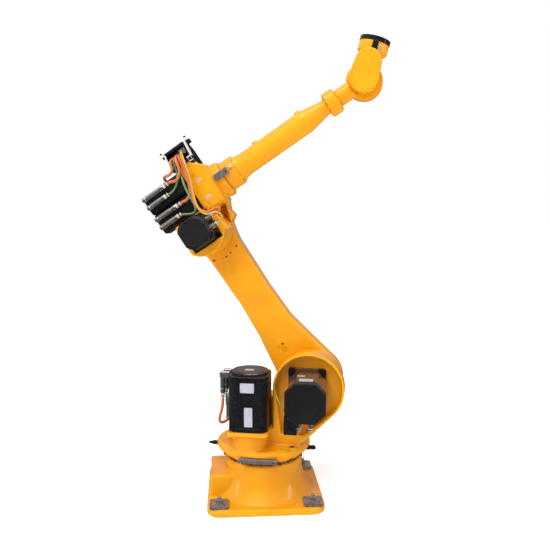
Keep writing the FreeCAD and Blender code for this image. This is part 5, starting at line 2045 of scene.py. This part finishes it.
@dataclass
class Hand(Assembly):
    """The hand on axis 5: casting, oval belt cover with its screws, and the small gauge by the flange."""

    foot_radius: float = 43.5
    tip_radius: float = 38.0
    tip: float = 46.0

    def build(self) -> None:
        """Build the hand."""
        self.cast("hand_casting", "hand_body", Finishes.orange, 1.8, 8, grown=self.bosses())
        self.cover()
        self.gauge()

    def oval(self, drawn: float) -> list[Point]:
        """Give the outline of the belt cover, drawn in.

        Args:
            drawn: How far it is drawn in.

        Returns:
            Its points, counter-clockwise.
        """
        result = []
        foot, tip = self.foot_radius - drawn, self.tip_radius - drawn
        lean = math.asin((foot - tip) / self.tip)
        for step in range(25):
            angle = -math.pi / 2 + lean + (math.pi - 2 * lean) * step / 24
            result.append((self.tip + tip * math.cos(angle), tip * math.sin(angle)))
        for step in range(25):
            angle = math.pi / 2 - lean + (math.pi + 2 * lean) * step / 24
            result.append((foot * math.cos(angle), foot * math.sin(angle)))
        return result

    def bosses(self) -> Shape:
        """Build the lug at the heel.

        Returns:
            The bosses.
        """
        shape = Shape()
        shape.block((-43.0, -34.0, -16.0), (-26.0, -16.0, 6.0), 2.0, 3.0)
        return shape

    def cover(self) -> None:
        """Build the belt cover with its raised rim and its screws."""
        low, high = self.place.box("belt_cover")
        shape = Shape()
        shape.plate(Along.Y, (low.y, high.y + 1.0), self.oval(0.0), 2.2, 4)
        self.add("belt_cover_shell", shape, Finishes.orange, "belt_cover")
        screws = Shape()
        for spot in ((-36.0, -6.0), (-27.0, -26.0), (-27.0, 21.0), (-3.0, -36.5), (-3.0, 36.5), (20.0, -35.0),
                     (20.0, 35.0), (46.0, -32.5), (46.0, 32.5), (70.0, -21.0), (70.0, 21.0), (78.0, 0.0)):
            screws.socket_screw(Along.Y, low.y + 0.4, spot, 2.6, -1.6, 18)
        self.add("belt_cover_screws", screws, Finishes.orange)

    def gauge(self) -> None:
        """Build the dark gauge block and its white pin beside the tool flange."""
        dark, white = Shape(), Shape()
        dark.block((84.0, -55.0, -14.0), (111.0, -44.0, 3.0), 1.2, 1.5)
        self.add("gauge_block", dark, Finishes.tool)
        white.lathe(Along.X, [(86.0, 2.6), (101.0, 2.6), (103.0, 1.8)], (-47.5, -18.5), 20, 0.4)
        self.add("gauge_pin", white, Finishes.label)


@dataclass
class ToolFlange(Assembly):
    """The mounting flange with its bore, threaded holes and rim screws."""

    hole_reach: float = 17.68
    screw_circle: float = 39.5
    screws: int = 12

    def build(self) -> None:
        """Build the flange."""
        self.dress("tool_flange", Finishes.tool, 0.8)
        high = self.place.box("tool_flange")[1]
        shape = Shape()
        for sign_y in (-1, 1):
            for sign_z in (-1, 1):
                spot = (sign_y * self.hole_reach, sign_z * self.hole_reach)
                shape.tube(Along.X, [(high.x - 2.0, 3.0), (high.x - 0.02, 3.0), (high.x - 0.02, 4.2),
                                     (high.x - 2.0, 4.2)], spot, 24)
        for step in range(self.screws):
            angle = 2 * math.pi * (step + 0.5) / self.screws
            spot = (self.screw_circle * math.cos(angle), self.screw_circle * math.sin(angle))
            shape.socket_screw(Along.X, high.x - 3.4, spot, 2.9, 3.3, 18)
        self.add("tool_flange_screws", shape, Finishes.dark_steel)


# ---------------------------------------------------------------- the arm

def main() -> None:
    """Build the studio and every sub-assembly in order, and log each piece."""
    logging.basicConfig(level=logging.INFO, format="%(message)s")
    links = Links()
    Studio().build()
    groups = [
        Base(links.ground, "base"),
        Column(links.column, "column"),
        AxisOneMotor(links.column, "column"),
        AxisTwoMotor(links.column, "column"),
        ColumnLeads(links.column, "column"),
        LinkArm(links.link, "link_arm"),
        Elbow(links.elbow, "upper_arm"),
        AxisThreeMotor(links.elbow, "upper_arm"),
        WristMotors(links.elbow, "upper_arm"),
        HarnessBox(links.elbow, "upper_arm"),
        UpperArmLeads(links.elbow, "upper_arm"),
        Forearm(links.forearm, "forearm"),
        Hand(links.hand, "hand"),
        ToolFlange(links.hand, "tool_flange"),
    ]
    for group in groups:
        group.build()
        group.report()


if __name__ == "__main__":
    main()
